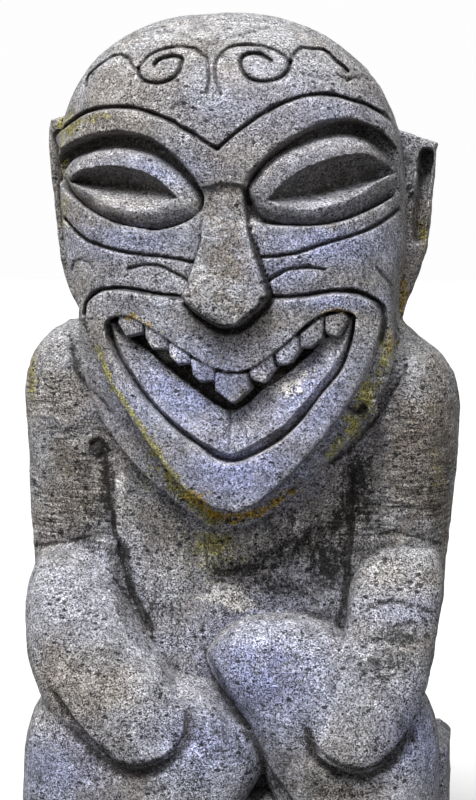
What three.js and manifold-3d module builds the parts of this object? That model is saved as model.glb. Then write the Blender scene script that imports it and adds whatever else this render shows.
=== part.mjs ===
// A seated tiki carved from one block of volcanic stone, on a low base cut from the same block.
// Millimetres, +Z up. The figure faces -Y, and the origin is the centre of the base's underside.
// x and z of the carving are as seen from the front, with +X on the viewer's right.

import * as THREE from 'three';
import { mergeVertices } from 'three/addons/utils/BufferGeometryUtils.js';
import Module from 'manifold-3d';

const wasm = await Module();
wasm.setup();

// Driving dimensions, in millimetres.
const FIGURE_HEIGHT = 1200;
const FIGURE_SET_BACK = 45;
const BASE_WIDTH = 620;
const BASE_DEPTH = 500;
const BASE_HEIGHT = 60;
const BASE_CORNER = 45;
const BASE_CHAMFER = 10;

// The figure is laid out in thousandths of its own height, measured up from the top of the base.
const THOUSANDTH = FIGURE_HEIGHT / 1000;
const SUNK_IN_BASE = 8;

// The head has a frame of its own, at the centre of the skull on the line of the eyes.
const HEAD = { x: 8, y: -33, z: 796, lean: THREE.MathUtils.degToRad(-2.7) };
const SKULL = {
  x: -10, crownLean: -12, halfWidth: 188, front: 171, back: 170, roundness: 2.5,
  shoulder: 17, crown: 186, domeRoundness: 2.3, bottom: -360,
};

const STONE = new THREE.MeshStandardMaterial({ color: 0x77787a, roughness: 0.93, metalness: 0 });

// Solids

function solid(geometry) {
  const bare = geometry.clone();
  for (const name of Object.keys(bare.attributes)) if (name !== 'position') bare.deleteAttribute(name);
  const merged = mergeVertices(bare, 1e-4);
  const triVerts = new Uint32Array(merged.index.array);
  const make = () => new wasm.Manifold(
    new wasm.Mesh({ numProp: 3, vertProperties: merged.attributes.position.array, triVerts }));
  const made = make();
  if (made.volume() > 0) return made;
  for (let i = 0; i < triVerts.length; i += 3) {
    [triVerts[i + 1], triVerts[i + 2]] = [triVerts[i + 2], triVerts[i + 1]];
  }
  return make();
}

// Skins a closed solid over rings of points that follow one another, with a fan over each end.
function skin(rings) {
  const count = rings[0].length;
  const points = rings.flat();
  const index = [];
  for (let ring = 0; ring + 1 < rings.length; ring++) {
    for (let i = 0; i < count; i++) {
      const a = ring * count + i;
      const b = ring * count + ((i + 1) % count);
      index.push(a, b, b + count, a, b + count, a + count);
    }
  }
  for (const ring of [0, rings.length - 1]) {
    const middle = new THREE.Vector3();
    rings[ring].forEach((p) => middle.addScaledVector(p, 1 / count));
    for (let i = 0; i < count; i++) {
      const a = ring * count + i;
      const b = ring * count + ((i + 1) % count);
      index.push(...(ring === 0 ? [points.length, b, a] : [points.length, a, b]));
    }
    points.push(middle);
  }
  const geometry = new THREE.BufferGeometry().setFromPoints(points);
  geometry.setIndex(index);
  return solid(geometry);
}

// A section with soft corners between two points [x, z] of the form's outline as seen from the front. It
// reaches forwards and backwards from y. A roundness of 2 is an ellipse, and more is squarer.
function section({ from, to, y = 0, front, back = front, roundness = 2.5 }, count) {
  const soften = (value) => Math.sign(value) * Math.abs(value) ** (2 / roundness);
  const middle = new THREE.Vector3((from[0] + to[0]) / 2, y, (from[1] + to[1]) / 2);
  const half = new THREE.Vector3(to[0] - middle.x, 0, to[1] - middle.z);
  return Array.from({ length: count }, (_, i) => {
    const angle = (2 * Math.PI * (i + 0.5)) / count;
    const point = middle.clone().addScaledVector(half, soften(Math.cos(angle)));
    point.y += (Math.sin(angle) < 0 ? front : back) * soften(Math.sin(angle));
    return point;
  });
}

// A rounded form through its sections, with more sections put in between on smooth curves.
function form(sections, { steps = sections.length - 1, around = 20, roundness = 2.4 } = {}) {
  const track = (pick) => new THREE.CatmullRomCurve3(
    sections.map((one) => new THREE.Vector3(...pick(one))), false, 'catmullrom', 0.5);
  const from = track((one) => [one.from[0], one.y ?? 0, one.from[1]]);
  const to = track((one) => [one.to[0], 0, one.to[1]]);
  const reach = track((one) => [one.front, one.back ?? one.front, 0]);
  return skin(Array.from({ length: steps + 1 }, (_, i) => {
    const [a, b, c] = [from, to, reach].map((curve) => curve.getPoint(i / steps));
    return section({ from: [a.x, a.z], to: [b.x, b.z], y: a.y, front: c.x, back: c.y, roundness }, around);
  }));
}

// A level section, centred at x.
const level = ({ x = 0, z, halfWidth, ...rest }) =>
  ({ from: [x - halfWidth, z], to: [x + halfWidth, z], ...rest });

function ellipsoid({ x, y, z, rx, ry, rz }, around = 20, down = 12) {
  const ball = new THREE.SphereGeometry(1, around, down).rotateX(Math.PI / 2);
  return solid(ball.scale(rx, ry, rz).translate(x, y, z));
}

// A block standing on z = low, with rounded upright edges and a chamfered top edge.
function slab(width, depth, low, high, corner, chamfer) {
  const outline = (inset) => {
    const halfX = width / 2 - inset;
    const halfY = depth / 2 - inset;
    const radius = corner - inset;
    const shape = new THREE.Shape();
    shape.moveTo(halfX, radius - halfY);
    shape.absarc(halfX - radius, halfY - radius, radius, 0, Math.PI / 2);
    shape.absarc(radius - halfX, halfY - radius, radius, Math.PI / 2, Math.PI);
    shape.absarc(radius - halfX, radius - halfY, radius, Math.PI, Math.PI * 1.5);
    shape.absarc(halfX - radius, radius - halfY, radius, Math.PI * 1.5, Math.PI * 2);
    return shape.getPoints(5).slice(1);
  };
  const ring = (inset, z) => outline(inset).map((p) => new THREE.Vector3(p.x, p.y, z));
  return skin([ring(0, low), ring(0, high - chamfer), ring(chamfer, high)]);
}

// The skull's surface, in the head's frame

function dome(z, grow = 0) {
  const rise = Math.max(z - SKULL.shoulder, 0) / (SKULL.crown + grow);
  return {
    share: Math.max(1 - rise ** SKULL.domeRoundness, 0) ** (1 / SKULL.domeRoundness),
    x: SKULL.x + SKULL.crownLean * rise ** 2,
  };
}

function faceDepth(x, z) {
  const { share, x: middle } = dome(z);
  const across = Math.min(Math.abs(x - middle) / (SKULL.halfWidth * share), 0.995);
  return -SKULL.front * share * (1 - across ** SKULL.roundness) ** (1 / SKULL.roundness);
}

// A point of the face as seen from the front at x and z, raised along the surface's own normal.
function onFace(x, z, raise = 0) {
  const step = 1;
  const slopeX = (faceDepth(x + step, z) - faceDepth(x - step, z)) / (2 * step);
  const slopeZ = (faceDepth(x, z + step) - faceDepth(x, z - step)) / (2 * step);
  const normal = new THREE.Vector3(slopeX, -1, slopeZ).normalize();
  return new THREE.Vector3(x, faceDepth(x, z), z).addScaledVector(normal, raise);
}

function skull(grow, around = 40) {
  const heights = [SKULL.bottom, -240, -120, -40, SKULL.shoulder];
  const domeSteps = 7;
  for (let i = 1; i < domeSteps; i++) {
    heights.push(SKULL.shoulder + (SKULL.crown + grow) * Math.sin((Math.PI / 2) * (i / domeSteps)));
  }
  heights.push(SKULL.shoulder + (SKULL.crown + grow) * 0.998);
  return skin(heights.map((z) => {
    const { share, x } = dome(z, grow);
    const halfWidth = (SKULL.halfWidth + grow) * share;
    const front = (SKULL.front + grow) * share;
    const back = (SKULL.back + grow) * share;
    return section(level({ x, z, halfWidth, front, back, roundness: SKULL.roundness }), around);
  }));
}

// Carving tools

const smooth = (points, count, closed = false) =>
  new THREE.CatmullRomCurve3(points.map(([x, z]) => new THREE.Vector3(x, 0, z)), closed, 'centripetal')
    .getSpacedPoints(count)
    .slice(0, closed ? count : count + 1)
    .map((p) => [p.x, p.z]);

// The carving's middle line stands off the skull's own, leans above the eyes, and its right side is
// a little lower. A line or outline is written once, out from that line, and laid on either side of it.
const AXIS = { x: 3.5, lean: -0.09, tilt: 0.035 };
const laid = (points, side) => points.map(([out, z]) =>
  [side * out + AXIS.x + AXIS.lean * Math.max(z, 0), z - AXIS.tilt * side * out]);

// The whole outline of a form from its half, top to bottom, with both ends on the middle line.
const bothHalves = (half) => [...laid(half, 1), ...laid(half, -1).reverse().slice(1, -1)];

// A straight-sided prism, seen from the front as the outline, that runs from front to back.
function prism(outline, front = -400, back = 400) {
  const shape = new THREE.Shape(outline.map(([x, z]) => new THREE.Vector2(x, z)));
  const geometry = new THREE.ExtrudeGeometry(shape, { depth: back - front, bevelEnabled: false, steps: 1 });
  return solid(geometry.rotateX(Math.PI / 2).translate(0, back, 0));
}

// A V-shaped cut along a line on the face.
function groove(line, width, depth, steps, closed = false) {
  const points = smooth(line, steps, closed);
  const surface = points.map(([x, z]) => onFace(x, z));
  const rings = points.map(([x, z], i) => {
    const before = surface[Math.max(i - 1, 0)];
    const after = surface[Math.min(i + 1, surface.length - 1)];
    const along = after.clone().sub(before).normalize();
    const out = onFace(x, z, 1).sub(surface[i]).normalize();
    const side = along.clone().cross(out);
    const atEnd = i === 0 || i === points.length - 1;
    const half = (width / 2) * (atEnd ? 0.5 : 1);
    const rise = 2;
    const spread = half * (1 + rise / depth);
    return [
      surface[i].clone().addScaledVector(out, rise).addScaledVector(side, spread),
      surface[i].clone().addScaledVector(out, rise).addScaledVector(side, -spread),
      surface[i].clone().addScaledVector(out, -depth * (atEnd ? 0.6 : 1)),
    ];
  });
  return skin(rings);
}

// A pillow on the face: the outline shrinks about its centre from ring to ring, each ring at its own raise.
function pillow(outline, centre, rings) {
  return skin(rings.map(({ size, raise }) => outline.map(([x, z]) =>
    onFace(centre[0] + (x - centre[0]) * size, centre[1] + (z - centre[1]) * size, raise))));
}

// The face, in the head's frame

const MASK = [[300, 300], [215, 110], [190, 55], [180, 18], [178, -17], [175, -55], [169, -87], [156, -142],
  [137, -190], [111, -229], [69, -278], [29, -312], [3, -325], [-25, -317], [-56, -294], [-86, -252],
  [-118, -205], [-140, -165], [-157, -130], [-169, -100], [-178, -68], [-187, -25], [-190, 28], [-202, 75],
  [-225, 120], [-300, 300]];
const BROW_LINE = [[0, 48], [29, 70], [58, 88], [98, 99], [140, 96], [167, 83], [183, 66]];
const BROW = {
  upper: [[0, 47], [29, 70], [58, 88], [98, 99], [140, 96], [164, 84], [174, 75]],
  lower: [[0, 10], [20, 14], [45, 42], [70, 58], [102, 71], [135, 73], [158, 64], [171, 54]],
};
const SOCKET = [[21, 2], [30, 21], [47, 42], [70, 57], [102, 70], [135, 72], [160, 62], [177, 44],
  [181, 20], [175, 2], [155, -12], [118, -27], [83, -33], [50, -31], [30, -22], [21, -11]];
const EYE = [[24, -2], [41, 25], [70, 45], [105, 57], [142, 54], [167, 40], [177, 18],
  [156, -8], [118, -24], [83, -31], [50, -29], [29, -20]];
const LENS = {
  inner: [49, -8], outer: [173, 21],
  top: [[58, 8], [84, 28], [115, 38], [146, 34]],
  valley: [[61, -5], [84, 6], [116, 14], [147, 17]],
  bottom: [[62, -16], [82, -18], [110, -12], [142, 2]],
};
const CHEEK_LINE = [[180, -13], [160, -31], [135, -43], [98, -53], [65, -60], [30, -63]];
const CHEEK_ARC = [[104, -73], [80, -70], [59, -75], [36, -89]];
const LIP_LINE = [[34, -103], [77, -99], [112, -95], [137, -97], [151, -107], [157, -124], [154, -146]];
const PLATE = [[0, -104], [34, -103], [77, -99], [112, -95], [137, -97], [151, -107], [157, -124],
  [170, -140], [170, -330], [0, -330]];
const MOUTH = [[0, -182], [21, -178], [46, -165], [77, -139], [95, -125], [113, -119], [125, -126],
  [126, -146], [103, -187], [71, -229], [32, -260], [0, -272]];
const LIP = {
  edge: [[125, -136], [123, -155], [103, -188], [71, -230], [32, -261], [0, -273]],
  ridge: [[122, -136], [116, -150], [96, -182], [65, -218], [31, -248], [0, -260]],
  valley: [[120, -134], [110, -142], [84, -156], [55, -183], [26, -208], [0, -220]],
};
const TEETH = [
  [[0, -176], [18, -176], [18, -198], [0, -211]],
  [[19, -178], [43, -164], [43, -177], [32, -190], [20, -188]],
  [[44, -164], [67, -147], [66, -158], [57, -171], [45, -170]],
  [[68, -146], [93, -129], [91, -142], [80, -156], [69, -156]],
  [[94, -129], [116, -123], [113, -136], [103, -146], [94, -139]],
];
const NOSE = [
  { z: 6, half: 18, raise: -9 }, { z: -14, half: 19, raise: 1 }, { z: -42, half: 22, raise: 15 },
  { z: -67, half: 29, raise: 25 }, { z: -98, half: 40, raise: 33 }, { z: -128, half: 6, raise: 34 },
];
const SWIRLS = [
  [[5, 112], [4, 128], [4, 140], [10, 149], [18, 154], [31, 158], [45, 157], [60, 153], [71, 147],
    [80, 138]],
  [[80, 138], [87, 146], [94, 152], [101, 154], [109, 153], [117, 149], [125, 142], [132, 135], [139, 127]],
  [[62, 139], [55, 144], [45, 147], [35, 145], [31, 137], [33, 130], [40, 124], [50, 120], [62, 119],
    [72, 123], [79, 131], [80, 138]],
];
const PARTING = [[52, 177], [34, 174], [22, 169], [10, 162], [0, 156]];

function eyes(face) {
  const hollow = [{ size: 1.02, raise: 6 }, { size: 0.97, raise: -10 }, { size: 0.86, raise: -19 },
    { size: 0.4, raise: -21 }];
  const ball = [{ size: 1, raise: -26 }, { size: 0.985, raise: -13 }, { size: 0.92, raise: -5 },
    { size: 0.75, raise: 1 }, { size: 0.4, raise: 4 }];
  const cut = [4, -8, -16, -18, -14, 2];
  let carved = face;
  for (const side of [1, -1]) {
    const [inner, outer] = laid([LENS.inner, LENS.outer], side);
    const ends = (points) => [inner, ...laid(points, side), outer];
    const [top, valley, bottom] = [LENS.top, LENS.valley, LENS.bottom].map(ends);
    const lens = valley.map((point, i) => [
      onFace(top[i][0], top[i][1] + 1, 9),
      onFace(bottom[i][0], bottom[i][1] - 1, 9),
      onFace(bottom[i][0], bottom[i][1] - 1, 3),
      onFace(...point, cut[i]),
      onFace(top[i][0], top[i][1] + 1, 3),
    ]);
    const socket = smooth(laid(SOCKET, side), 24, true);
    const eye = smooth(laid(EYE, side), 22, true);
    carved = carved.subtract(pillow(socket, laid([[102, 18]], side)[0], hollow));
    carved = carved.add(pillow(eye, laid([[100, 14]], side)[0], ball));
    carved = carved.subtract(skin(lens));
  }
  return carved;
}

// The band between the brow line and the eye socket stands a little proud of the forehead.
function brow(side) {
  const upper = smooth(BROW.upper, 11);
  const lower = smooth(BROW.lower, 11);
  const profile = [[0, -8], [0.02, 0], [0.2, 4], [0.75, 5], [0.98, 1], [1, -8]];
  return skin(upper.map((from, i) => profile.map(([share, raise]) => {
    const point = new THREE.Vector2(...from).lerp(new THREE.Vector2(...lower[i]), share);
    return onFace(...laid([[point.x, point.y]], side)[0], raise);
  })));
}

function nose(face) {
  const at = (out, z, raise) => onFace(...laid([[out, z]], 1)[0], raise);
  const notch = skin([{ z: 7, raise: -10 }, { z: -44, raise: 1 }].map(({ z, raise }) =>
    [at(-22, z, 12), at(22, z, 12), at(22, z, raise), at(-22, z, raise)]));
  const across = [-1, -0.98, -0.78, 0, 0.78, 0.98, 1];
  const rise = [-1, 0.55, 0.94, 1, 0.94, 0.55, -1];
  const ring = ({ z, half, raise }) => across.map((share, i) =>
    at(share * half, z, rise[i] < 0 ? -24 : raise - (1 - rise[i]) * (raise + 14)));
  const tip = NOSE.at(-1);
  const underside = { z: tip.z - 1, half: tip.half * 0.8, raise: 6 };
  return face.subtract(notch).add(skin([...NOSE, underside].map(ring)));
}

function tooth(outline) {
  const middle = [0, 1].map((i) => outline.reduce((sum, point) => sum + point[i], 0) / outline.length);
  const rings = [{ size: 0.98, raise: -34 }, { size: 0.98, raise: -2 }, { size: 0.8, raise: 2 }];
  return pillow(outline, middle, rings);
}

// The lower lip inside the mouth: up from its outer edge to a ridge, then inwards to below the teeth.
function lowerLip() {
  const half = (points) => smooth(points, 7);
  const whole = (points) => [...laid(half(points), 1), ...laid(half(points), -1).reverse().slice(1)];
  const [edge, ridge, valley] = [LIP.edge, LIP.ridge, LIP.valley].map(whole);
  return skin(edge.map((_, i) => {
    const inMouth = Math.min(i, edge.length - 1 - i) / 7;
    return [onFace(...edge[i], -14), onFace(...ridge[i], -1 - 3 * (1 - inMouth)),
      onFace(...valley[i], -16 - 10 * inMouth), onFace(...valley[i], -36), onFace(...edge[i], -36)];
  }));
}

function mouth(face, mask) {
  const plate = prism(bothHalves(PLATE), -400, -20).intersect(skull(8)).intersect(mask);
  const opening = prism(bothHalves(MOUTH), -400, 0).subtract(skull(-30));
  let made = face.add(plate);
  for (const side of [1, -1]) made = made.subtract(groove(laid(LIP_LINE, side), 11, 9, 10));
  made = made.subtract(opening).add(lowerLip());
  TEETH.forEach((half, i) => {
    if (i === 0) made = made.add(tooth(bothHalves(half)));
    else made = made.add(tooth(laid(half, 1))).add(tooth(laid(half, -1)));
  });
  return made;
}

function grooves(face) {
  const lines = [
    { line: BROW_LINE, width: 8, depth: 7, steps: 10 },
    { line: CHEEK_LINE, width: 6, depth: 5, steps: 7 },
    { line: CHEEK_ARC, width: 6, depth: 5, steps: 5 },
    { line: SWIRLS[0], width: 6, depth: 5, steps: 11 },
    { line: SWIRLS[1], width: 6, depth: 5, steps: 9 },
    { line: SWIRLS[2], width: 6, depth: 5, steps: 13 },
    { line: PARTING, width: 6, depth: 3, steps: 4 },
  ];
  let made = face;
  for (const { line, width, depth, steps } of lines) {
    for (const side of [1, -1]) made = made.subtract(groove(laid(line, side), width, depth, steps));
  }
  return made;
}

// Flat ears set back on the sides of the head, with a hollow down the front of each.
const EARS = [
  {
    outline: [[120, 60], [206, 55], [211, 46], [210, 26], [204, -7], [197, -57], [189, -82], [180, -105],
      [170, -125], [162, -142], [120, -142]],
    hollow: [[196, 40], [194, 10], [187, -30], [177, -66]],
  },
  {
    outline: [[-120, 103], [-212, 103], [-222, 99], [-224, 78], [-223, 33], [-221, -12], [-218, -58],
      [-213, -82], [-204, -106], [-190, -130], [-172, -142], [-120, -142]],
    hollow: [[-210, 80], [-209, 40], [-206, -10], [-200, -60]],
  },
];
const EAR_FRONT = 38;
const EAR_BACK = 92;

function ear({ outline, hollow }) {
  const scoop = skin(hollow.map(([x, z], i) => {
    const half = i === 0 || i === hollow.length - 1 ? 3 : 9;
    return [new THREE.Vector3(x - half, EAR_FRONT - 2, z), new THREE.Vector3(x + half, EAR_FRONT - 2, z),
      new THREE.Vector3(x, EAR_FRONT + half * 1.4, z)];
  }));
  return prism(outline, EAR_FRONT, EAR_BACK).subtract(scoop);
}

function head() {
  const mask = prism(MASK);
  let made = skull(0).intersect(mask);
  made = made.add(brow(1)).add(brow(-1));
  made = eyes(made);
  made = nose(made);
  made = mouth(made, mask);
  made = grooves(made);
  for (const one of EARS) made = made.add(ear(one));
  const place = new THREE.Matrix4().makeRotationY(HEAD.lean).setPosition(HEAD.x, HEAD.y, HEAD.z);
  return made.transform(place.toArray());
}

// The body, in the figure's frame

const NECK = [[140, 770], [172, 700], [178, 650], [174, 604], [134, 539], [81, 485], [40, 455],
  [11, 443], [-16, 452], [-83, 503], [-126, 552], [-150, 600], [-158, 640], [-156, 700], [-130, 770]];

const TORSO = [
  { z: 0, halfWidth: 190, front: 130, back: 140 },
  { z: 150, halfWidth: 195, front: 140, back: 148 },
  { z: 300, halfWidth: 190, front: 140, back: 146 },
  { z: 430, halfWidth: 192, front: 126, back: 142 },
  { z: 550, halfWidth: 200, front: 118, back: 146 },
  { z: 620, halfWidth: 196, front: 104, back: 142 },
  { z: 652, halfWidth: 172, front: 84, back: 124 },
  { z: 666, halfWidth: 140, front: 60, back: 100 },
];

const UPPER_ARMS = [
  [
    { from: [-194, 661], to: [-144, 661], y: 10, front: 40, back: 50 },
    { from: [-217, 646], to: [-132, 646], y: 10, front: 72, back: 84 },
    { from: [-234, 620], to: [-124, 620], y: 10, front: 94, back: 106 },
    { from: [-240, 590], to: [-121, 590], y: 10, front: 105, back: 118 },
    { from: [-238, 545], to: [-120, 545], y: 10, front: 111, back: 124 },
    { from: [-236, 490], to: [-118, 490], y: 10, front: 109, back: 126 },
    { from: [-234, 430], to: [-114, 430], y: 10, front: 101, back: 126 },
    { from: [-229, 365], to: [-112, 365], y: 10, front: 92, back: 120 },
    { from: [-217, 325], to: [-118, 325], y: 10, front: 78, back: 102 },
    { from: [-193, 306], to: [-140, 306], y: 10, front: 46, back: 62 },
  ],
  [
    { from: [140, 665], to: [176, 665], y: 10, front: 40, back: 50 },
    { from: [132, 646], to: [197, 646], y: 10, front: 72, back: 84 },
    { from: [128, 620], to: [227, 620], y: 10, front: 94, back: 106 },
    { from: [126, 590], to: [242, 590], y: 10, front: 105, back: 118 },
    { from: [126, 550], to: [245, 550], y: 10, front: 111, back: 124 },
    { from: [130, 500], to: [242, 500], y: 10, front: 109, back: 126 },
    { from: [138, 440], to: [236, 440], y: 10, front: 101, back: 126 },
    { from: [140, 380], to: [232, 380], y: 10, front: 92, back: 120 },
    { from: [148, 338], to: [228, 338], y: 10, front: 78, back: 102 },
    { from: [170, 318], to: [210, 318], y: 10, front: 46, back: 62 },
  ],
];

const FOREARMS = [
  [
    { from: [-190, 416], to: [-146, 414], y: -58, front: 36 },
    { from: [-213, 406], to: [-127, 405], y: -60, front: 58 },
    { from: [-220, 368], to: [-111, 374], y: -92, front: 62 },
    { from: [-217, 330], to: [-93, 350], y: -116, front: 64 },
    { from: [-206, 290], to: [-80, 326], y: -134, front: 64 },
    { from: [-186, 256], to: [-58, 300], y: -150, front: 62 },
    { from: [-160, 230], to: [-40, 274], y: -163, front: 58 },
    { from: [-131, 208], to: [-27, 248], y: -174, front: 54 },
    { from: [-100, 196], to: [-24, 228], y: -182, front: 48 },
    { from: [-78, 197], to: [-38, 213], y: -186, front: 30 },
  ],
  [
    { from: [208, 421], to: [162, 420], y: -58, front: 36 },
    { from: [228, 411], to: [140, 410], y: -60, front: 56 },
    { from: [234, 375], to: [132, 384], y: -90, front: 60 },
    { from: [229, 338], to: [131, 348], y: -116, front: 60 },
    { from: [224, 306], to: [123, 318], y: -136, front: 60 },
    { from: [218, 276], to: [110, 290], y: -152, front: 58 },
    { from: [209, 248], to: [101, 264], y: -164, front: 56 },
    { from: [194, 224], to: [97, 242], y: -174, front: 52 },
    { from: [174, 206], to: [106, 222], y: -182, front: 46 },
    { from: [156, 203], to: [126, 210], y: -186, front: 28 },
  ],
];

const LEGS = [
  [
    { from: [-218, 182], to: [-218, 150], y: -95, front: 20 },
    { from: [-214, 222], to: [-215, 98], y: -98, front: 58 },
    { from: [-203, 252], to: [-204, 58], y: -101, front: 84 },
    { from: [-180, 280], to: [-184, 34], y: -104, front: 98 },
    { from: [-140, 296], to: [-150, 26], y: -106, front: 106 },
    { from: [-95, 298], to: [-108, 34], y: -108, front: 110 },
    { from: [-45, 289], to: [-62, 58], y: -110, front: 110 },
    { from: [-4, 281], to: [-20, 96], y: -112, front: 106 },
    { from: [22, 261], to: [13, 134], y: -116, front: 96 },
    { from: [43, 236], to: [36, 168], y: -120, front: 76 },
    { from: [54, 212], to: [52, 192], y: -126, front: 40 },
  ],
  [
    { from: [-16, 313], to: [-12, 300], y: -120, front: 30 },
    { from: [6, 341], to: [-6, 286], y: -112, front: 70 },
    { from: [48, 356], to: [14, 258], y: -112, front: 88 },
    { from: [104, 350], to: [32, 226], y: -110, front: 94 },
    { from: [160, 316], to: [42, 190], y: -108, front: 98 },
    { from: [206, 276], to: [56, 152], y: -104, front: 102 },
    { from: [227, 230], to: [74, 96], y: -100, front: 104 },
    { from: [230, 172], to: [110, 42], y: -98, front: 100 },
    { from: [227, 112], to: [158, 14], y: -96, front: 84 },
    { from: [214, 62], to: [190, 16], y: -94, front: 56 },
  ],
];

const TUCKED_FOOT = { x: 50, y: -116, z: 92, rx: 112, ry: 96, rz: 74 };
const SEAT = { halfWidth: 234, front: 20, back: 158, top: 180, corner: 14 };
const LAP = [
  { z: -SUNK_IN_BASE, halfWidth: 212, front: 168, back: 150 },
  { z: 40, halfWidth: 206, front: 160, back: 150 },
  { z: 120, halfWidth: 190, front: 140, back: 140 },
];

function neck() {
  const throat = [430, 540, 660, 780].map((z) =>
    level({ x: HEAD.x, z, halfWidth: 230, front: 156, back: 120 }));
  return prism(smooth(NECK, 26, true), -400, 60).intersect(form(throat, { around: 28 }));
}

function seat() {
  const middle = (SEAT.front + SEAT.back) / 2;
  const ring = (inset, z) => [[1, -1], [1, 1], [-1, 1], [-1, -1]].flatMap(([sideX, sideY]) => {
    const x = sideX * (SEAT.halfWidth - inset);
    const y = middle + sideY * ((SEAT.back - SEAT.front) / 2 - inset);
    const corner = [
      new THREE.Vector3(x - sideX * SEAT.corner, y, z),
      new THREE.Vector3(x, y - sideY * SEAT.corner, z),
    ];
    return sideX * sideY < 0 ? corner : corner.reverse();
  });
  return skin([ring(0, -SUNK_IN_BASE), ring(0, SEAT.top - 14), ring(10, SEAT.top)]);
}

function body() {
  let made = form(TORSO.map(level), { around: 24, roundness: 2.8 }).add(neck()).add(seat());
  made = made.add(form(LAP.map(level), { around: 24, roundness: 3.2 }));
  for (const arm of UPPER_ARMS) made = made.add(form(arm, { around: 16, roundness: 2.5 }));
  for (const leg of LEGS) made = made.add(form(leg, { steps: 10, around: 20, roundness: 2.8 }));
  made = made.add(ellipsoid(TUCKED_FOOT));
  for (const arm of FOREARMS) made = made.add(form(arm, { steps: 10, around: 16, roundness: 2.4 }));
  return made;
}

function tiki() {
  const figure = body().add(head());
  const place = new THREE.Matrix4().makeScale(THOUSANDTH, THOUSANDTH, THOUSANDTH)
    .setPosition(0, FIGURE_SET_BACK, BASE_HEIGHT);
  const base = slab(BASE_WIDTH, BASE_DEPTH, 0, BASE_HEIGHT, BASE_CORNER, BASE_CHAMFER);
  return base.add(figure.transform(place.toArray()));
}

function toGeometry(made) {
  const { vertProperties, triVerts } = made.getMesh();
  const geometry = new THREE.BufferGeometry();
  geometry.setAttribute('position', new THREE.BufferAttribute(new Float32Array(vertProperties), 3));
  geometry.setIndex([...triVerts]);
  geometry.computeVertexNormals();
  return geometry;
}

const part = new THREE.Group();
const statue = new THREE.Mesh(toGeometry(tiki()), STONE);
statue.name = 'tiki_statue';
part.add(statue);

export default part;
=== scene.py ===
# The looks of a seated tiki carved from one block of grey volcanic stone, on a low base of the same block.
# The carving is laid out in thousandths of the figure's height, measured up from the top of the base.
# x and z are as seen from the front, with +X on the viewer's right. The figure faces -Y.

import math

import bpy
import numpy as np
import openvdb as vdb
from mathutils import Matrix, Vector


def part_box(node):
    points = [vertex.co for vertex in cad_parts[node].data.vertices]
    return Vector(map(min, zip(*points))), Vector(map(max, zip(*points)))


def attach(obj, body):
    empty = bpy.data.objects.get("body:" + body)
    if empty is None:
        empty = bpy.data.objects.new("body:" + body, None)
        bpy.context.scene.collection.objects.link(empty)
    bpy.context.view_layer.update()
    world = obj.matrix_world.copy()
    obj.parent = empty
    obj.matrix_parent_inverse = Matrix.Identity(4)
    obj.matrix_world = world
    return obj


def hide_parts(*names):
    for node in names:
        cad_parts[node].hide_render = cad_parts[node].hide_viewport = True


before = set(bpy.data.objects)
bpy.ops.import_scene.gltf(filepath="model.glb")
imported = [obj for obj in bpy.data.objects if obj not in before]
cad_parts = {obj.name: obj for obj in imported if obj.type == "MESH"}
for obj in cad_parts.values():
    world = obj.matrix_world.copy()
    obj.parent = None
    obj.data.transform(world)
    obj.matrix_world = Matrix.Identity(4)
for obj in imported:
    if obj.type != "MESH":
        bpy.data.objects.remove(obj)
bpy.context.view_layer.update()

# Sizes, from the frame, in metres. FIGURE_TOP and SKIN are in thousandths, and SKIN is the room that is left
# for the weathering on each side of the base.
LOW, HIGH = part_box("tiki_statue")
BASE_HEIGHT = 0.060
FIGURE_TOP = 998.0
THOUSANDTH = (HIGH.z - BASE_HEIGHT) / FIGURE_TOP
FIGURE_SET_BACK = 0.045
SKIN = 1.0
MOST_TRIANGLES = 190000

# The camera, in metres and pixels of the photograph
VIEW_AZIMUTH, VIEW_ELEVATION = math.radians(8), math.radians(5)
VIEW_DISTANCE = 2.8
VIEW_TARGET = np.array([-0.0023, 0.045, 0.745])
PHOTO_WIDTH, PHOTO_HEIGHT = 476, 800
LENS, SENSOR = 93.33, 36.0
FOCAL_PIXELS = LENS / SENSOR * PHOTO_HEIGHT
TO_CAMERA = np.array([math.sin(VIEW_AZIMUTH) * math.cos(VIEW_ELEVATION),
                      -math.cos(VIEW_AZIMUTH) * math.cos(VIEW_ELEVATION),
                      math.sin(VIEW_ELEVATION)])
VIEW_RIGHT = np.array([math.cos(VIEW_AZIMUTH), math.sin(VIEW_AZIMUTH), 0.0])
VIEW_UP = np.cross(TO_CAMERA, VIEW_RIGHT)

# The head has a frame of its own, at the centre of the skull on the line of the eyes.
HEAD_X, HEAD_Y, HEAD_Z = 8, -33, 796
HEAD_LEAN = math.radians(-2.7)
SKULL = {"x": -10, "crown_lean": -12, "half_width": 188, "front": 171, "back": 170, "roundness": 2.5,
         "shoulder": 17, "crown": 183.5, "dome_roundness": 2.3, "bottom": -360}
MIDDLE = 3.5

# The grid that the stone is carved in: stretches of (from, to, step) along each axis. BAND is how far from
# the skin the distances are true, in steps.
FINE = 1.6
RULER_X = [(-264, -200, 3.0), (-200, 200, FINE), (200, 264, 3.0)]
RULER_Y = [(-248, -50, FINE), (-50, 40, 2.6), (40, 178, 5.0)]
RULER_Z = [(-58, 0, 4.0), (0, 470, 2.6), (470, 1004, FINE)]
BAND = 8.0


def ruler(stretches):
    """The places of the grid's planes along one axis."""
    parts = [np.linspace(a, b, max(round((b - a) / step), 1), endpoint=False) for a, b, step in stretches]
    return np.concatenate(parts + [[stretches[-1][1]]])


GRID = [ruler(RULER_X), ruler(RULER_Y), ruler(RULER_Z)]
SHAPE = tuple(len(axis) for axis in GRID)


def to_grid(points):
    """Places in the figure's frame as grid indices."""
    points = np.asarray(points, float)
    return np.stack([np.interp(points[:, i], GRID[i], np.arange(SHAPE[i])) for i in range(3)], 1)


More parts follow.
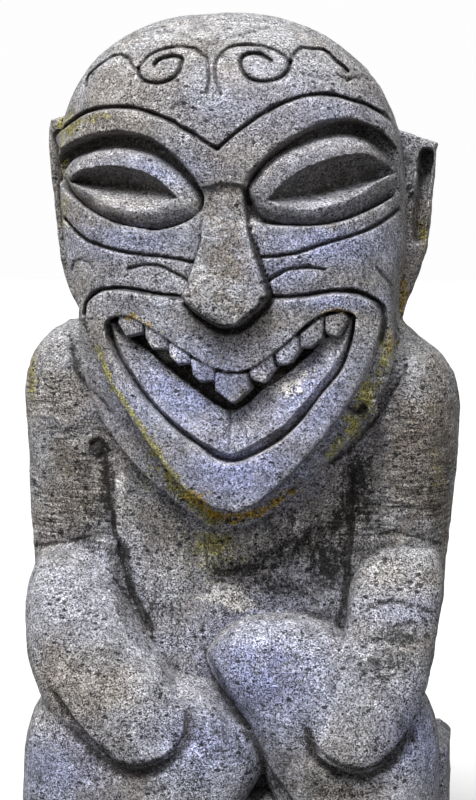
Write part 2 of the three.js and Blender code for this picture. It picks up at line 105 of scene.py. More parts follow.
def from_grid(index):
    """Grid indices as places in the figure's frame."""
    return np.stack([np.interp(index[:, i], np.arange(SHAPE[i]), GRID[i]) for i in range(3)], 1)


# Curves

def smooth(points, count, closed=False):
    """count + 1 points, or count of a closed curve, spaced evenly on a smooth curve through the points."""
    points = np.asarray(points, float)
    if closed:
        around = np.vstack([points[-1], points, points[:2]])
    else:
        around = np.vstack([2 * points[0] - points[1], points, 2 * points[-1] - points[-2]])
    steps = np.linspace(0, 1, 12, endpoint=False)[:, None]
    pieces = []
    for a, b, c, d in zip(around, around[1:], around[2:], around[3:]):
        pieces.append(0.5 * (2 * b + (c - a) * steps + (2 * a - 5 * b + 4 * c - d) * steps ** 2
                             + (3 * b - a - 3 * c + d) * steps ** 3))
    line = np.vstack(pieces + [around[-2][None]])
    along = np.concatenate([[0], np.cumsum(np.linalg.norm(np.diff(line, axis=0), axis=1))])
    wanted = np.linspace(0, along[-1], count + 1)[:count if closed else count + 1]
    return np.stack([np.interp(wanted, along, line[:, i]) for i in range(line.shape[1])], 1)


# Forms as closed skins of four-sided faces

def section(start, end, y, front, back, roundness, count):
    """A section between two points (x, z) of a form's outline, reaching forwards and backwards from y."""
    angle = 2 * np.pi * (np.arange(count) + 0.5) / count
    soften = lambda value: np.sign(value) * np.abs(value) ** (2 / roundness)
    middle, half = (np.array(start) + end) / 2, (np.array(end) - start) / 2
    across, deep = soften(np.cos(angle)), soften(np.sin(angle))
    flat = middle + np.outer(across, half)
    return np.stack([flat[:, 0], y + np.where(deep < 0, front, back) * deep, flat[:, 1]], 1)


def skin(rings):
    """Points and faces of a closed skin over rings that follow one another, with a fan over each end."""
    count = len(rings[0])
    points = np.vstack(list(rings) + [rings[0].mean(0)[None], rings[-1].mean(0)[None]])
    faces, triangles = [], []
    i = np.arange(count)
    j = (i + 1) % count
    for ring in range(len(rings) - 1):
        a = ring * count
        faces.append(np.stack([a + i, a + j, a + count + j, a + count + i], 1))
    last = (len(rings) - 1) * count
    triangles.append(np.stack([np.full(count, len(points) - 2), j, i], 1))
    triangles.append(np.stack([np.full(count, len(points) - 1), last + i, last + j], 1))
    return points, np.vstack(faces), np.vstack(triangles)


def form(rows, steps=36, around=48, roundness=2.4):
    """A rounded form through rows of (from x, from z, to x, to z, y, front, back)."""
    track = smooth([row if len(row) == 7 else (*row, row[-1]) for row in rows], steps)
    return skin([section(r[0:2], r[2:4], r[4], r[5], r[6], roundness, around) for r in track])


def level(rows):
    """Rows of (x, z, half width, y, front, back) as rows of a form with level sections."""
    return [(x - half, z, x + half, z, y, front, back) for x, z, half, y, front, back in rows]


def ball(x, y, z, rx, ry, rz):
    rings = []
    for tilt in np.linspace(-math.pi / 2, math.pi / 2, 24)[1:-1]:
        wide, height = math.cos(tilt), z + rz * math.sin(tilt)
        start, end = (x - rx * wide, height), (x + rx * wide, height)
        rings.append(section(start, end, y, ry * wide, ry * wide, roundness=2, count=40))
    return skin(rings)


def block(width, depth, y, low, high, corner, chamfer):
    """A block with rounded upright edges and a chamfered top edge."""
    count = 48
    rings = []
    turn = np.linspace(0, 2 * np.pi, count, endpoint=False) + 0.01
    for inset, z in [(0, low), (0, high - chamfer), (chamfer, high)]:
        radius = corner - inset
        x = (width / 2 - corner) * np.sign(np.cos(turn)) + radius * np.cos(turn)
        deep = (depth / 2 - corner) * np.sign(np.sin(turn)) + radius * np.sin(turn)
        rings.append(np.stack([x, y + deep, np.full(count, z)], 1))
    return skin(rings)


# The field: below zero inside the stone, in steps of the grid

def distance(shape, band=BAND, margin=4):
    """The distance to a form over the part of the grid round it, and where that part starts."""
    points, quads, triangles = shape
    index = to_grid(points).astype(np.float32)
    low = np.maximum(np.floor(index.min(0)).astype(int) - margin, 0)
    high = np.minimum(np.ceil(index.max(0)).astype(int) + margin + 1, SHAPE)
    grid = vdb.FloatGrid.createLevelSetFromPolygons(
        index, triangles=triangles.astype(np.uint32), quads=quads.astype(np.uint32), halfWidth=band)
    field = np.full(high - low, band, np.float32)
    grid.copyToArray(field, ijk=tuple(int(v) for v in low))
    return field, tuple(slice(a, b) for a, b in zip(low, high))


def blend_in(stone, field, where, softness):
    """Joins a form to the stone with a fillet."""
    old = stone[where]
    overlap = np.maximum(softness - np.abs(old - field), 0) / softness
    stone[where] = np.minimum(old, field) - overlap ** 2 * softness / 4


def soft_max(a, b, softness):
    """What two fields share, with their edge rounded."""
    overlap = np.maximum(softness - np.abs(a - b), 0) / softness
    return np.maximum(a, b) + overlap ** 2 * softness / 4


# Distances on the face, seen from the front

def from_line(line, x, z, closed=False):
    """The distance of each place from a line of points (x, z), below zero inside a closed one."""
    line = np.asarray(line, float)
    ends = np.roll(line, -1, 0) if closed else line[1:]
    best = np.full(x.shape, 1e9)
    inside = np.zeros(x.shape, bool)
    for (ax, az), (bx, bz) in zip(line, ends):
        dx, dz = bx - ax, bz - az
        share = np.clip(((x - ax) * dx + (z - az) * dz) / (dx * dx + dz * dz + 1e-9), 0, 1)
        best = np.minimum(best, (x - ax - share * dx) ** 2 + (z - az - share * dz) ** 2)
        if closed and dz:
            crosses = ((az <= z) & (bz > z)) | ((bz <= z) & (az > z))
            inside ^= crosses & (x < ax + (z - az) / dz * dx)
    best = np.sqrt(best)
    return np.where(inside, -best, best)


def ease(value, start, end):
    """0 up to start and 1 from end, with a soft rise between."""
    share = np.clip((value - start) / (end - start), 0, 1)
    return share * share * (3 - 2 * share)


# Seeded noise

LATTICE = 32


def noise(points, cell, seed):
    """Values from -1 to 1 that change smoothly over about a cell's size."""
    lattice = np.random.default_rng(seed).uniform(-1, 1, (LATTICE,) * 3).astype(np.float32)
    scaled = points / np.asarray(cell, float)
    whole = np.floor(scaled).astype(int)
    part = (scaled - whole).astype(np.float32)
    part = part * part * (3 - 2 * part)
    total = np.zeros(len(points), np.float32)
    for corner in range(8):
        step = np.array([corner & 1, (corner >> 1) & 1, corner >> 2])
        weight = np.prod(np.where(step, part, 1 - part), axis=1)
        i, j, k = ((whole + step) % LATTICE).T
        total += weight * lattice[i, j, k]
    return total


# The face, in the head's frame, as (x, z). Each line of a pair runs outwards from the nose.

BROW_LINES = [
    [(-1, 49), (-23, 64), (-54, 83), (-92, 97), (-139, 98), (-182, 82), (-196, 74)],
    [(-1, 49), (29, 72), (64, 92), (103, 101), (141, 92), (168, 77), (179, 60), (186, 44)],
]
SOCKETS = [
    [(-17, 1), (-25, 18), (-44, 42), (-70, 62), (-103, 71), (-139, 69), (-180, 57), (-196, 40), (-178, 17),
     (-155, 0), (-119, -20), (-85, -29), (-64, -31), (-37, -24), (-20, -12)],
    [(24, 1), (32, 21), (63, 48), (103, 69), (132, 73), (160, 61), (176, 38), (184, 22), (178, 3),
     (157, -15), (119, -31), (79, -34), (36, -29), (26, -17)],
]
EYES = [
    [(-19, -6), (-25, 8), (-37, 23), (-52, 37), (-74, 51), (-99, 57), (-122, 59), (-154, 55), (-173, 49),
     (-190, 32), (-177, 19), (-164, 6), (-141, -11), (-112, -24), (-83, -31), (-61, -32), (-40, -27),
     (-25, -22)],
    [(25, 7), (34, 20), (44, 32), (63, 44), (83, 52), (103, 58), (126, 60), (145, 55), (161, 44), (174, 28),
     (181, 16), (176, 4), (157, -12), (132, -26), (107, -34), (80, -35), (57, -31), (39, -22), (30, -8)],
]
LENS_TOPS = [
    [(-43, 1), (-54, 13), (-69, 24), (-86, 31), (-108, 36), (-129, 37), (-155, 34), (-170, 25)],
    [(48, -5), (59, 6), (74, 17), (92, 26), (112, 33), (132, 37), (151, 36), (165, 29), (175, 19)],
]
LENS_VALLEYS = [
    [(-43, 1), (-59, 6), (-81, 11), (-109, 16), (-139, 19), (-170, 25)],
    [(48, -5), (76, -3), (101, 1), (126, 7), (151, 12), (175, 19)],
]
LENS_BOTTOMS = [
    [(-43, 1), (-46, -6), (-55, -10), (-71, -11), (-93, -9), (-116, -3), (-140, 9), (-170, 25)],
    [(48, -5), (51, -11), (65, -15), (85, -16), (106, -13), (126, -8), (145, 1), (162, 11), (175, 19)],
]
CHEEK_LINES = [
    [(-29, -65), (-60, -58), (-98, -52), (-132, -43), (-157, -32), (-179, -13)],
    [(36, -62), (68, -61), (98, -53), (138, -42), (162, -29), (177, -16)],
]
CHEEK_ARCS = [
    [(-33, -86), (-55, -72), (-76, -65), (-101, -68)],
    [(42, -88), (63, -77), (83, -75), (102, -78)],
]
CHEEK_CURLS = [
    [(-144, -67), (-150, -60), (-159, -57), (-168, -60), (-172, -68)],
    [(152, -81), (158, -89), (164, -100), (164, -111)],
]
LIP_LINES = [
    [(-41, -100), (-78, -94), (-111, -88), (-135, -90), (-151, -100), (-156, -115), (-153, -140)],
    [(41, -104), (76, -104), (111, -101), (135, -105), (152, -117), (157, -133), (153, -156)],
]
PLATE = [(-30, -104), (-41, -100), (-78, -94), (-111, -88), (-135, -90), (-151, -100), (-156, -115),
         (-190, -140), (-190, -380), (190, -380), (190, -150), (157, -133), (152, -117), (135, -105),
         (111, -101), (76, -104), (41, -104), (32, -106)]
MASK = [(300, 300), (212, 110), (188, 55), (180, 18), (178, -17), (175, -55), (169, -87), (156, -142),
        (137, -190), (111, -229), (69, -278), (29, -312), (3, -325), (-25, -317), (-56, -294), (-86, -252),
        (-118, -205), (-140, -165), (-157, -130), (-169, -100), (-178, -68), (-187, -25), (-190, 28),
        (-202, 75), (-225, 120), (-300, 300)]

# The mouth, from the left corner to the right one
MOUTH_TOP = [(-129, -125), (-123, -120), (-115, -118), (-100, -119), (-87, -126), (-68, -138), (-50, -151),
             (-31, -164), (-13, -175), (5, -179), (22, -177), (42, -166), (61, -152), (79, -137),
             (97, -125), (113, -122), (124, -124), (130, -129)]
LIP_FOOT = [(-129, -125), (-129, -135), (-127, -144), (-119, -163), (-106, -183), (-91, -204), (-72, -225),
            (-54, -242), (-36, -255), (-18, -269), (-1, -273), (15, -270), (38, -259), (57, -247),
            (75, -230), (94, -207), (113, -185), (122, -165), (128, -144), (130, -129)]
LIP_RIDGE = [(-124, -126), (-118, -139), (-109, -162), (-92, -190), (-76, -210), (-63, -223), (-43, -240),
             (-21, -255), (-3, -263), (12, -258), (29, -250), (53, -236), (72, -217), (91, -196),
             (109, -174), (120, -154), (126, -130)]
LIP_VALLEY = [(-118, -124), (-104, -144), (-86, -156), (-66, -175), (-40, -196), (-26, -207), (-4, -221),
              (12, -216), (33, -199), (52, -188), (74, -171), (96, -152), (114, -137), (120, -127)]
LIP_CREASE = [(-3, -221), (-3, -262)]
TEETH = [
    [(-115, -124), (-112, -118), (-98, -118), (-86, -125), (-88, -136), (-106, -139)],
    [(-85, -128), (-80, -129), (-61, -142), (-62, -153), (-78, -152), (-84, -140)],
    [(-60, -146), (-54, -148), (-39, -159), (-40, -169), (-52, -169), (-59, -160)],
    [(-38, -163), (-31, -165), (-13, -174), (-14, -187), (-29, -188), (-36, -181)],
    [(-11, -178), (20, -181), (21, -198), (7, -210), (2, -210), (-14, -197), (-13, -182)],
    [(22, -179), (40, -166), (47, -162), (48, -177), (37, -192), (27, -189), (23, -185)],
    [(49, -162), (68, -147), (73, -145), (74, -160), (63, -174), (51, -174)],
    [(75, -143), (92, -130), (99, -127), (97, -149), (84, -159), (75, -157)],
    [(101, -127), (118, -123), (123, -131), (112, -149), (102, -146), (100, -141)],
]
NOSE = [(-18, 10), (-20, -43), (-29, -73), (-40, -98), (-37, -105), (-30, -113), (-14, -125), (-4, -131),
        (14, -131), (36, -115), (47, -103), (44, -86), (38, -66), (29, -35), (24, 10)]
NOSE_SIDES = [[(-21, -40), (-30, -72), (-40, -97)], [(24, 8), (29, -34), (38, -64), (44, -84), (48, -102)]]
NOSE_UNDERSIDE = [(-39, -107), (-31, -117), (-15, -129), (-4, -136), (14, -136), (37, -119), (48, -107)]
NOSE_HEIGHTS = [(-130, 35), (-100, 31), (-67, 24), (-42, 14), (-14, -2), (10, -14)]

# The forehead's carving
ARCS = [
    [(-11, 108), (-10, 114), (-9, 125), (-12, 143), (-17, 148), (-28, 156), (-45, 159), (-59, 158),
     (-74, 152), (-83, 142), (-86, 139)],
    [(4, 105), (-2, 120), (-3, 137), (2, 148), (11, 155), (25, 157), (42, 155), (56, 150), (68, 142),
     (73, 137)],
]
CURLS = [
    [(-86, 139), (-83, 130), (-74, 123), (-61, 121), (-49, 124), (-41, 132), (-39, 142), (-41, 147),
     (-48, 149), (-58, 148), (-65, 145), (-68, 141)],
    [(73, 137), (70, 126), (62, 119), (48, 116), (34, 119), (26, 127), (23, 138), (26, 145), (38, 147),
     (50, 141), (54, 138)],
]
HOOKS = [
    [(-89, 137), (-97, 149), (-106, 155), (-115, 156), (-126, 152), (-140, 144), (-149, 135), (-149, 127)],
    [(73, 136), (77, 146), (83, 152), (94, 151), (104, 150), (116, 139), (128, 126)],
]
PARTINGS = [
    [(-7, 159), (-18, 162), (-31, 168), (-50, 175), (-71, 178)],
    [(-7, 159), (10, 165), (35, 173), (46, 176)],
]

# The cut lines, each with its width and depth
CUTS = ([(line, 6, 9) for line in BROW_LINES] + [(line, 5, 7) for line in CHEEK_LINES]
        + [(line, 4.6, 6) for line in CHEEK_ARCS] + [(line, 4, 3) for line in CHEEK_CURLS]
        + [(line, 6.2, 11) for line in LIP_LINES] + [(line, 4.6, 5) for line in ARCS + HOOKS]
        + [(line, 5.4, 7) for line in CURLS] + [(line, 4, 2) for line in PARTINGS]
        + [(LIP_CREASE, 3.5, 3.5), (NOSE_SIDES[0], 3.2, 4), (NOSE_SIDES[1], 4.4, 8), (NOSE_UNDERSIDE, 9, 12)])
CUT_LOWER = 1.0

# Heights and depths of the face's relief, from the skull
BROW_FOOT, BROW_RISE = -2, 7
BROW_OVER_NOSE = [(22, 8), (4, 11), (-15, 8)]
SOCKET_DEPTH = 25
EYEBALL_INSETS, EYEBALL_HEIGHTS = [-1, 0, 1.5, 4, 9, 18, 30], [-45, -25, -17, -9, -2, 3, 5]
SLIT_DEPTH, SLIT_UPPER_RISE, SLIT_LOWER_RISE = 28, 20, 28
EYE_FOOT = -70
PLATE_RISE = 8
MOUTH_DEPTH, MOUTH_HALF_WIDTH = 38, 120
TOOTH_FOOT, TOOTH_RISE = -6, 11


def carve_cuts(relief, x, z):
    """Cuts V-shaped lines, a little below the lines' own places because the upper walls lie in shade."""
    places = np.stack([x.ravel(), np.zeros(x.size), z.ravel()], 1)
    wander = 0.9 * noise(places, 9, 31).reshape(x.shape) + 0.5 * noise(places, 4, 32).reshape(x.shape)
    uneven = 1 + 0.3 * noise(places, 14, 33).reshape(x.shape)
    for line, width, depth in CUTS:
        away = from_line(smooth(line, 40), x + wander, z + CUT_LOWER + 0.7 * wander)
        relief = relief - depth * uneven * np.clip(1 - away / (uneven * width / 2), 0, 1) ** 0.8
    return relief


def carve_brow(relief, x, z):
    """Raises the band between the brow line and the eye sockets, with the block over the nose."""
    left, right = BROW_LINES
    under = SOCKETS[1][6::-1] + BROW_OVER_NOSE + SOCKETS[0][:7]
    band = np.vstack([smooth(left[::-1], 40), smooth(right, 40)[1:], under])
    inset = -from_line(band, x, z, closed=True)
    return np.maximum(relief, BROW_FOOT + BROW_RISE * ease(inset, -2, 4.5))


def slit(side, x, z):
    """Whether places lie in an eye's slit, whether above its valley, and how far along and up its slopes."""
    order = slice(None, None, 1 if side else -1)
    lines = [smooth(table[side], 40)[order] for table in (LENS_TOPS, LENS_VALLEYS, LENS_BOTTOMS)]
    upper, middle, lower = [np.interp(x, line[:, 0], line[:, 1]) for line in lines]
    inner, outer = lines[0][0, 0], lines[0][-1, 0]
    along = np.clip((x - inner) / (outer - inner), 0, 1)
    above = z > middle
    rise = np.where(above, (z - middle) / np.maximum(upper - middle, 0.5),
                    (middle - z) / np.maximum(middle - lower, 0.5))
    return (rise < 1) & (x > inner) & (x < outer), above, along, rise


def carve_eyes(relief, x, z):
    """Sinks the sockets, leaves the eyeballs standing in them and cuts a leaf-shaped slit into each."""
    for side in range(2):
        socket = from_line(smooth(SOCKETS[side], 60, True), x, z, closed=True)
        relief = relief + (-SOCKET_DEPTH - relief) * ease(-socket, -1, 2.5)
        eye = -from_line(smooth(EYES[side], 60, True), x, z, closed=True)
        relief = np.maximum(relief, np.interp(eye, EYEBALL_INSETS, EYEBALL_HEIGHTS))
        inside, above, along, rise = slit(side, x, z)
        deep = SLIT_DEPTH * np.sin(np.pi * along) ** 0.5
        slope = np.where(above, -deep + SLIT_UPPER_RISE * rise ** 2, -deep + SLIT_LOWER_RISE * rise)
        relief = np.where(inside, np.minimum(relief, slope), relief)
    return relief


def carve_nose(relief, x, z):
    """Raises the nose: a flat front, widening down to the tip, with steep sides and a bevelled underside."""
    heights, tops = np.array(NOSE_HEIGHTS).T
    deep = -from_line(NOSE, x, z, closed=True)
    underside = ease(-z, 98, 106)
    front = np.interp(z, heights, tops) - (2 + 4 * underside) * (1 - ease(deep, 0, 2.5 + underside))
    return np.where(deep > -0.6, np.maximum(relief, front), relief)


def carve_mouth(relief, x, z):
    """Raises the plate round the mouth, sinks the mouth and leaves the lower lip and the teeth standing."""
    plate = -from_line(PLATE, x, z, closed=True)
    relief = relief + PLATE_RISE * ease(plate, -0.5, 2.5)
    top = smooth(MOUTH_TOP, 60)
    foot, ridge, valley = smooth(LIP_FOOT, 80), smooth(LIP_RIDGE, 80), smooth(LIP_VALLEY, 80)
    opening, lip, hollow = [from_line(np.vstack([top, line[::-1]]), x, z, closed=True)
                            for line in (foot, ridge, valley)]
    to_foot, to_ridge, to_valley = [from_line(line, x, z) for line in (foot, ridge, valley)]
    corner = np.clip(np.abs(x - MIDDLE) / MOUTH_HALF_WIDTH, 0, 1)
    wall = -17 + (18 - 2 * corner) * to_foot / (to_foot + to_ridge + 1e-6)
    slope = 1 - 2 * corner - (14 + 9 * (1 - corner)) * to_ridge / (to_ridge + to_valley + 1e-6)
    mouth = np.where(hollow < 0, -MOUTH_DEPTH, np.where(lip < 0, slope, wall))
    relief = relief + (mouth - relief) * ease(-opening, -1, 1.5)
    for tooth in TEETH:
        deep = -from_line(tooth, x, z, closed=True)
        front = TOOTH_FOOT + TOOTH_RISE * ease(deep, -2.4, 1.2)
        relief = np.where(deep > -1.5, np.maximum(relief, front), relief)
    return relief


def face_relief(x, z):
    """How far the carving stands out from the skull, or is sunk in it, at each place of the face."""
    relief = np.zeros(x.shape)
    for carve_one in (carve_brow, carve_eyes, carve_mouth, carve_nose, carve_cuts):
        relief = carve_one(relief, x, z)
    return relief


def skull():
    """The skull: upright below the shoulder of its dome, rounded over to the crown above."""
    rings = []
    heights = list(np.linspace(SKULL["bottom"], SKULL["shoulder"], 20))
    turns = np.linspace(0, np.pi / 2, 24)[1:]
    heights += list(SKULL["shoulder"] + SKULL["crown"] * np.sin(turns) * 0.9995)
    for z in heights:
        rise = max(z - SKULL["shoulder"], 0) / SKULL["crown"]
        share = max(1 - rise ** SKULL["dome_roundness"], 0) ** (1 / SKULL["dome_roundness"])
        x = SKULL["x"] + SKULL["crown_lean"] * rise ** 2
        half = SKULL["half_width"] * share
        rings.append(section((x - half, z), (x + half, z), 0, SKULL["front"] * share, SKULL["back"] * share,
                             SKULL["roundness"], 72))
    points, quads, triangles = skin(rings)
    return head_to_figure(points), quads, triangles


def head_to_figure(points):
    """Points of the head's frame in the figure's frame."""
    c, s = math.cos(HEAD_LEAN), math.sin(HEAD_LEAN)
    return np.stack([c * points[:, 0] + s * points[:, 2] + HEAD_X, points[:, 1] + HEAD_Y,
                     c * points[:, 2] - s * points[:, 0] + HEAD_Z], 1)


EARS = [
    {"outline": [(120, 60), (206, 55), (211, 46), (210, 26), (204, -7), (197, -57), (189, -82), (180, -105),
                 (170, -125), (162, -142), (120, -142)],
     "hollow": [(201, 38), (196, 5), (191, -25), (189, -52)]},
    {"outline": [(-120, 103), (-212, 103), (-222, 99), (-224, 78), (-223, 33), (-221, -12), (-218, -58),
                 (-213, -82), (-204, -106), (-190, -130), (-172, -142), (-120, -142)],
     "hollow": [(-210, 80), (-209, 40), (-206, -10), (-200, -60)]},
]
EAR_FRONT, EAR_BACK, EAR_HOLLOW, EAR_STEP = 38, 92, 28, 2.6
FACE_BAND = 26.0


def in_head(across, up):
    """Places across and up the figure, as x and z in the head's frame."""
    c, s = math.cos(HEAD_LEAN), math.sin(HEAD_LEAN)
    return c * (across - HEAD_X) - s * (up - HEAD_Z), s * (across - HEAD_X) + c * (up - HEAD_Z)


def head(stone):
    """Joins the head: the skull with the face carved into it, cut to the mask's outline, and the ears."""
    field, where = distance(skull(), band=FACE_BAND, margin=24)
    x, y, z = [axis[part] for axis, part in zip(GRID, where)]
    face_x, face_z = in_head(*np.meshgrid(x, z, indexing="ij"))
    relief = face_relief(face_x, face_z) / FINE
    in_front = 1 - ease(y - HEAD_Y, -62, -38)
    field = field - (relief[:, None, :] * in_front[None, :, None]).astype(np.float32)
    mask = from_line(smooth(MASK, 90, True), face_x, face_z, closed=True) / FINE
    field = soft_max(field, mask[:, None, :].astype(np.float32), 3.0)
    blend_in(stone, field, where, 1.5)
    for ear in EARS:
        ear_on(stone, ear)


def ear_on(stone, ear):
    """Joins one ear: a flat lobe behind the face, with a long hollow down its front."""
    where = tuple(slice(*np.searchsorted(axis, limits)) for axis, limits in
                  zip(GRID, [(-250, 250), (HEAD_Y + EAR_FRONT - 20, HEAD_Y + EAR_BACK + 20), (600, 930)]))
    x, y, z = [axis[part] for axis, part in zip(GRID, where)]
    face_x, face_z = in_head(*np.meshgrid(x, z, indexing="ij"))
    outline = from_line(smooth(ear["outline"], 60, True), face_x, face_z, closed=True) / EAR_STEP
    hollow = from_line(smooth(ear["hollow"], 20), face_x, face_z)
    front = (EAR_FRONT + EAR_HOLLOW * (1 - ease(hollow, 3.5, 9)))[:, None, :]
    depth = np.abs(y[None, :, None] - HEAD_Y - (front + EAR_BACK) / 2)
    thick = (depth - (EAR_BACK - front) / 2) / EAR_STEP
    blend_in(stone, soft_max(outline[:, None, :], thick, 3.0).astype(np.float32), where, 2.0)


# The body, in the figure's frame

NECK = [(140, 770), (172, 700), (178, 650), (174, 604), (134, 539), (81, 485), (40, 455), (11, 443),
        (-16, 452), (-83, 503), (-126, 552), (-150, 600), (-158, 640), (-156, 700), (-130, 770)]
THROAT = [(HEAD_X, z, 230, 0, 156, 120) for z in (430, 540, 660, 780)]
NECK_BACK, NECK_STEP_ACROSS, NECK_STEP_DEEP = 60, 2.0, 4
TORSO = [(0, 0, 190, 0, 130, 140), (0, 150, 195, 0, 140, 148), (0, 300, 190, 0, 140, 146),
         (0, 430, 192, 0, 126, 142), (0, 550, 200, 0, 118, 146), (0, 620, 196, 0, 104, 142),
         (0, 652, 172, 0, 84, 124), (0, 666, 140, 0, 60, 100)]
UPPER_ARMS = [
    [(-194, 661, -144, 661, 10, 40, 50), (-217, 646, -132, 646, 10, 72, 84),
     (-234, 620, -124, 620, 10, 94, 106), (-240, 590, -121, 590, 10, 105, 118),
     (-238, 545, -120, 545, 10, 111, 124), (-236, 490, -118, 490, 10, 109, 126),
     (-234, 430, -114, 430, 10, 101, 126), (-229, 365, -112, 365, 10, 92, 120),
     (-217, 325, -118, 325, 10, 78, 102), (-193, 306, -140, 306, 10, 46, 62)],
    [(140, 665, 176, 665, 10, 40, 50), (132, 646, 197, 646, 10, 72, 84), (128, 620, 227, 620, 10, 94, 106),
     (126, 590, 242, 590, 10, 105, 118), (126, 550, 245, 550, 10, 111, 124),
     (130, 500, 242, 500, 10, 109, 126), (138, 440, 236, 440, 10, 101, 126),
     (140, 380, 232, 380, 10, 92, 120), (148, 338, 228, 338, 10, 78, 102),
     (170, 318, 210, 318, 10, 46, 62)],
]
FOREARMS = [
    [(-190, 416, -146, 414, -58, 36), (-213, 406, -127, 405, -60, 58), (-220, 368, -111, 374, -92, 62),
     (-217, 330, -93, 350, -116, 64), (-206, 290, -80, 326, -134, 64), (-186, 256, -58, 300, -150, 62),
     (-160, 230, -40, 274, -163, 58), (-131, 208, -27, 248, -174, 54), (-100, 196, -24, 228, -182, 48),
     (-78, 197, -38, 213, -186, 30)],
    [(208, 421, 162, 420, -58, 36), (228, 411, 140, 410, -60, 56), (234, 375, 132, 384, -90, 60),
     (229, 338, 131, 348, -116, 60), (224, 306, 123, 318, -136, 60), (218, 276, 110, 290, -152, 58),
     (209, 248, 101, 264, -164, 56), (194, 224, 97, 242, -174, 52), (174, 206, 106, 222, -182, 46),
     (156, 203, 126, 210, -186, 28)],
]
LEGS = [
    [(-218, 182, -218, 150, -95, 20), (-214, 222, -215, 98, -98, 58), (-203, 252, -204, 58, -101, 84),
     (-180, 280, -184, 34, -104, 98), (-140, 296, -150, 26, -106, 106), (-95, 298, -108, 34, -108, 110),
     (-45, 289, -62, 58, -110, 110), (-4, 281, -20, 96, -112, 106), (22, 261, 13, 134, -116, 96),
     (43, 236, 36, 168, -120, 76), (54, 212, 52, 192, -126, 40)],
    [(-16, 313, -12, 300, -120, 30), (6, 341, -6, 286, -112, 70), (48, 356, 14, 258, -112, 88),
     (104, 350, 32, 226, -110, 94), (160, 316, 42, 190, -108, 98), (206, 276, 56, 152, -104, 102),
     (227, 230, 74, 96, -100, 104), (230, 172, 110, 42, -98, 100), (227, 112, 158, 14, -96, 84),
     (214, 62, 190, 16, -94, 56)],
]
TUCKED_FOOT = (50, -116, 92, 112, 96, 74)
LAP = [(0, -8, 212, 0, 168, 150), (0, 40, 206, 0, 160, 150), (0, 120, 190, 0, 140, 140)]
SEAT_HALF_WIDTH, SEAT_FRONT, SEAT_BACK, SEAT_FOOT, SEAT_TOP = 234, 20, 158, -8, 180
SEAT_CORNER, SEAT_CHAMFER = 16, 12
BASE_CORNER, BASE_CHAMFER = 38, 8


def neck(stone):
    """Joins the neck: the throat's round form, cut to the outline that shows from the front."""
    field, where = distance(form(level(THROAT)))
    x, _, z = [axis[part] for axis, part in zip(GRID, where)]
    across, up = np.meshgrid(x, z, indexing="ij")
    outline = from_line(smooth(NECK, 60, True), across, up, closed=True) / NECK_STEP_ACROSS
    behind = (GRID[1][where[1]] - NECK_BACK) / NECK_STEP_DEEP
    field = soft_max(field, outline[:, None, :].astype(np.float32), 3.0)
    field = np.maximum(field, behind[None, :, None].astype(np.float32))
    blend_in(stone, field, where, 3.0)


def body(stone):
    blend_in(stone, *distance(form(level(TORSO), roundness=2.8)), 2.0)
    neck(stone)
    seat = block(2 * SEAT_HALF_WIDTH, SEAT_BACK - SEAT_FRONT, (SEAT_FRONT + SEAT_BACK) / 2,
                 SEAT_FOOT, SEAT_TOP, SEAT_CORNER, SEAT_CHAMFER)
    blend_in(stone, *distance(seat), 2.0)
    blend_in(stone, *distance(form(level(LAP), roundness=3.2)), 2.0)
    for arm in UPPER_ARMS:
        blend_in(stone, *distance(form(arm, roundness=2.5)), 4.0)
    for leg in LEGS:
        blend_in(stone, *distance(form(leg, roundness=2.8)), 1.5)
    blend_in(stone, *distance(ball(*TUCKED_FOOT)), 2.0)
    for arm in FOREARMS:
        blend_in(stone, *distance(form(arm, roundness=2.4)), 1.5)


def base(stone):
    width = (HIGH.x - LOW.x) / THOUSANDTH - 2 * SKIN
    depth = (HIGH.y - LOW.y) / THOUSANDTH - 2 * SKIN
    middle, foot = -FIGURE_SET_BACK / THOUSANDTH, -BASE_HEIGHT / THOUSANDTH
    blend_in(stone, *distance(block(width, depth, middle, foot, 0, BASE_CORNER, BASE_CHAMFER)), 1.5)


# Marks on the front of the statue, in pixels of the photograph

def in_photo(world):
    """Where places in metres fall in the photograph, in pixels from its left and top."""
    away = world - (VIEW_TARGET + VIEW_DISTANCE * TO_CAMERA)
    depth = -away @ TO_CAMERA
    across = PHOTO_WIDTH / 2 + FOCAL_PIXELS * (away @ VIEW_RIGHT) / depth
    return across, PHOTO_HEIGHT / 2 - FOCAL_PIXELS * (away @ VIEW_UP) / depth


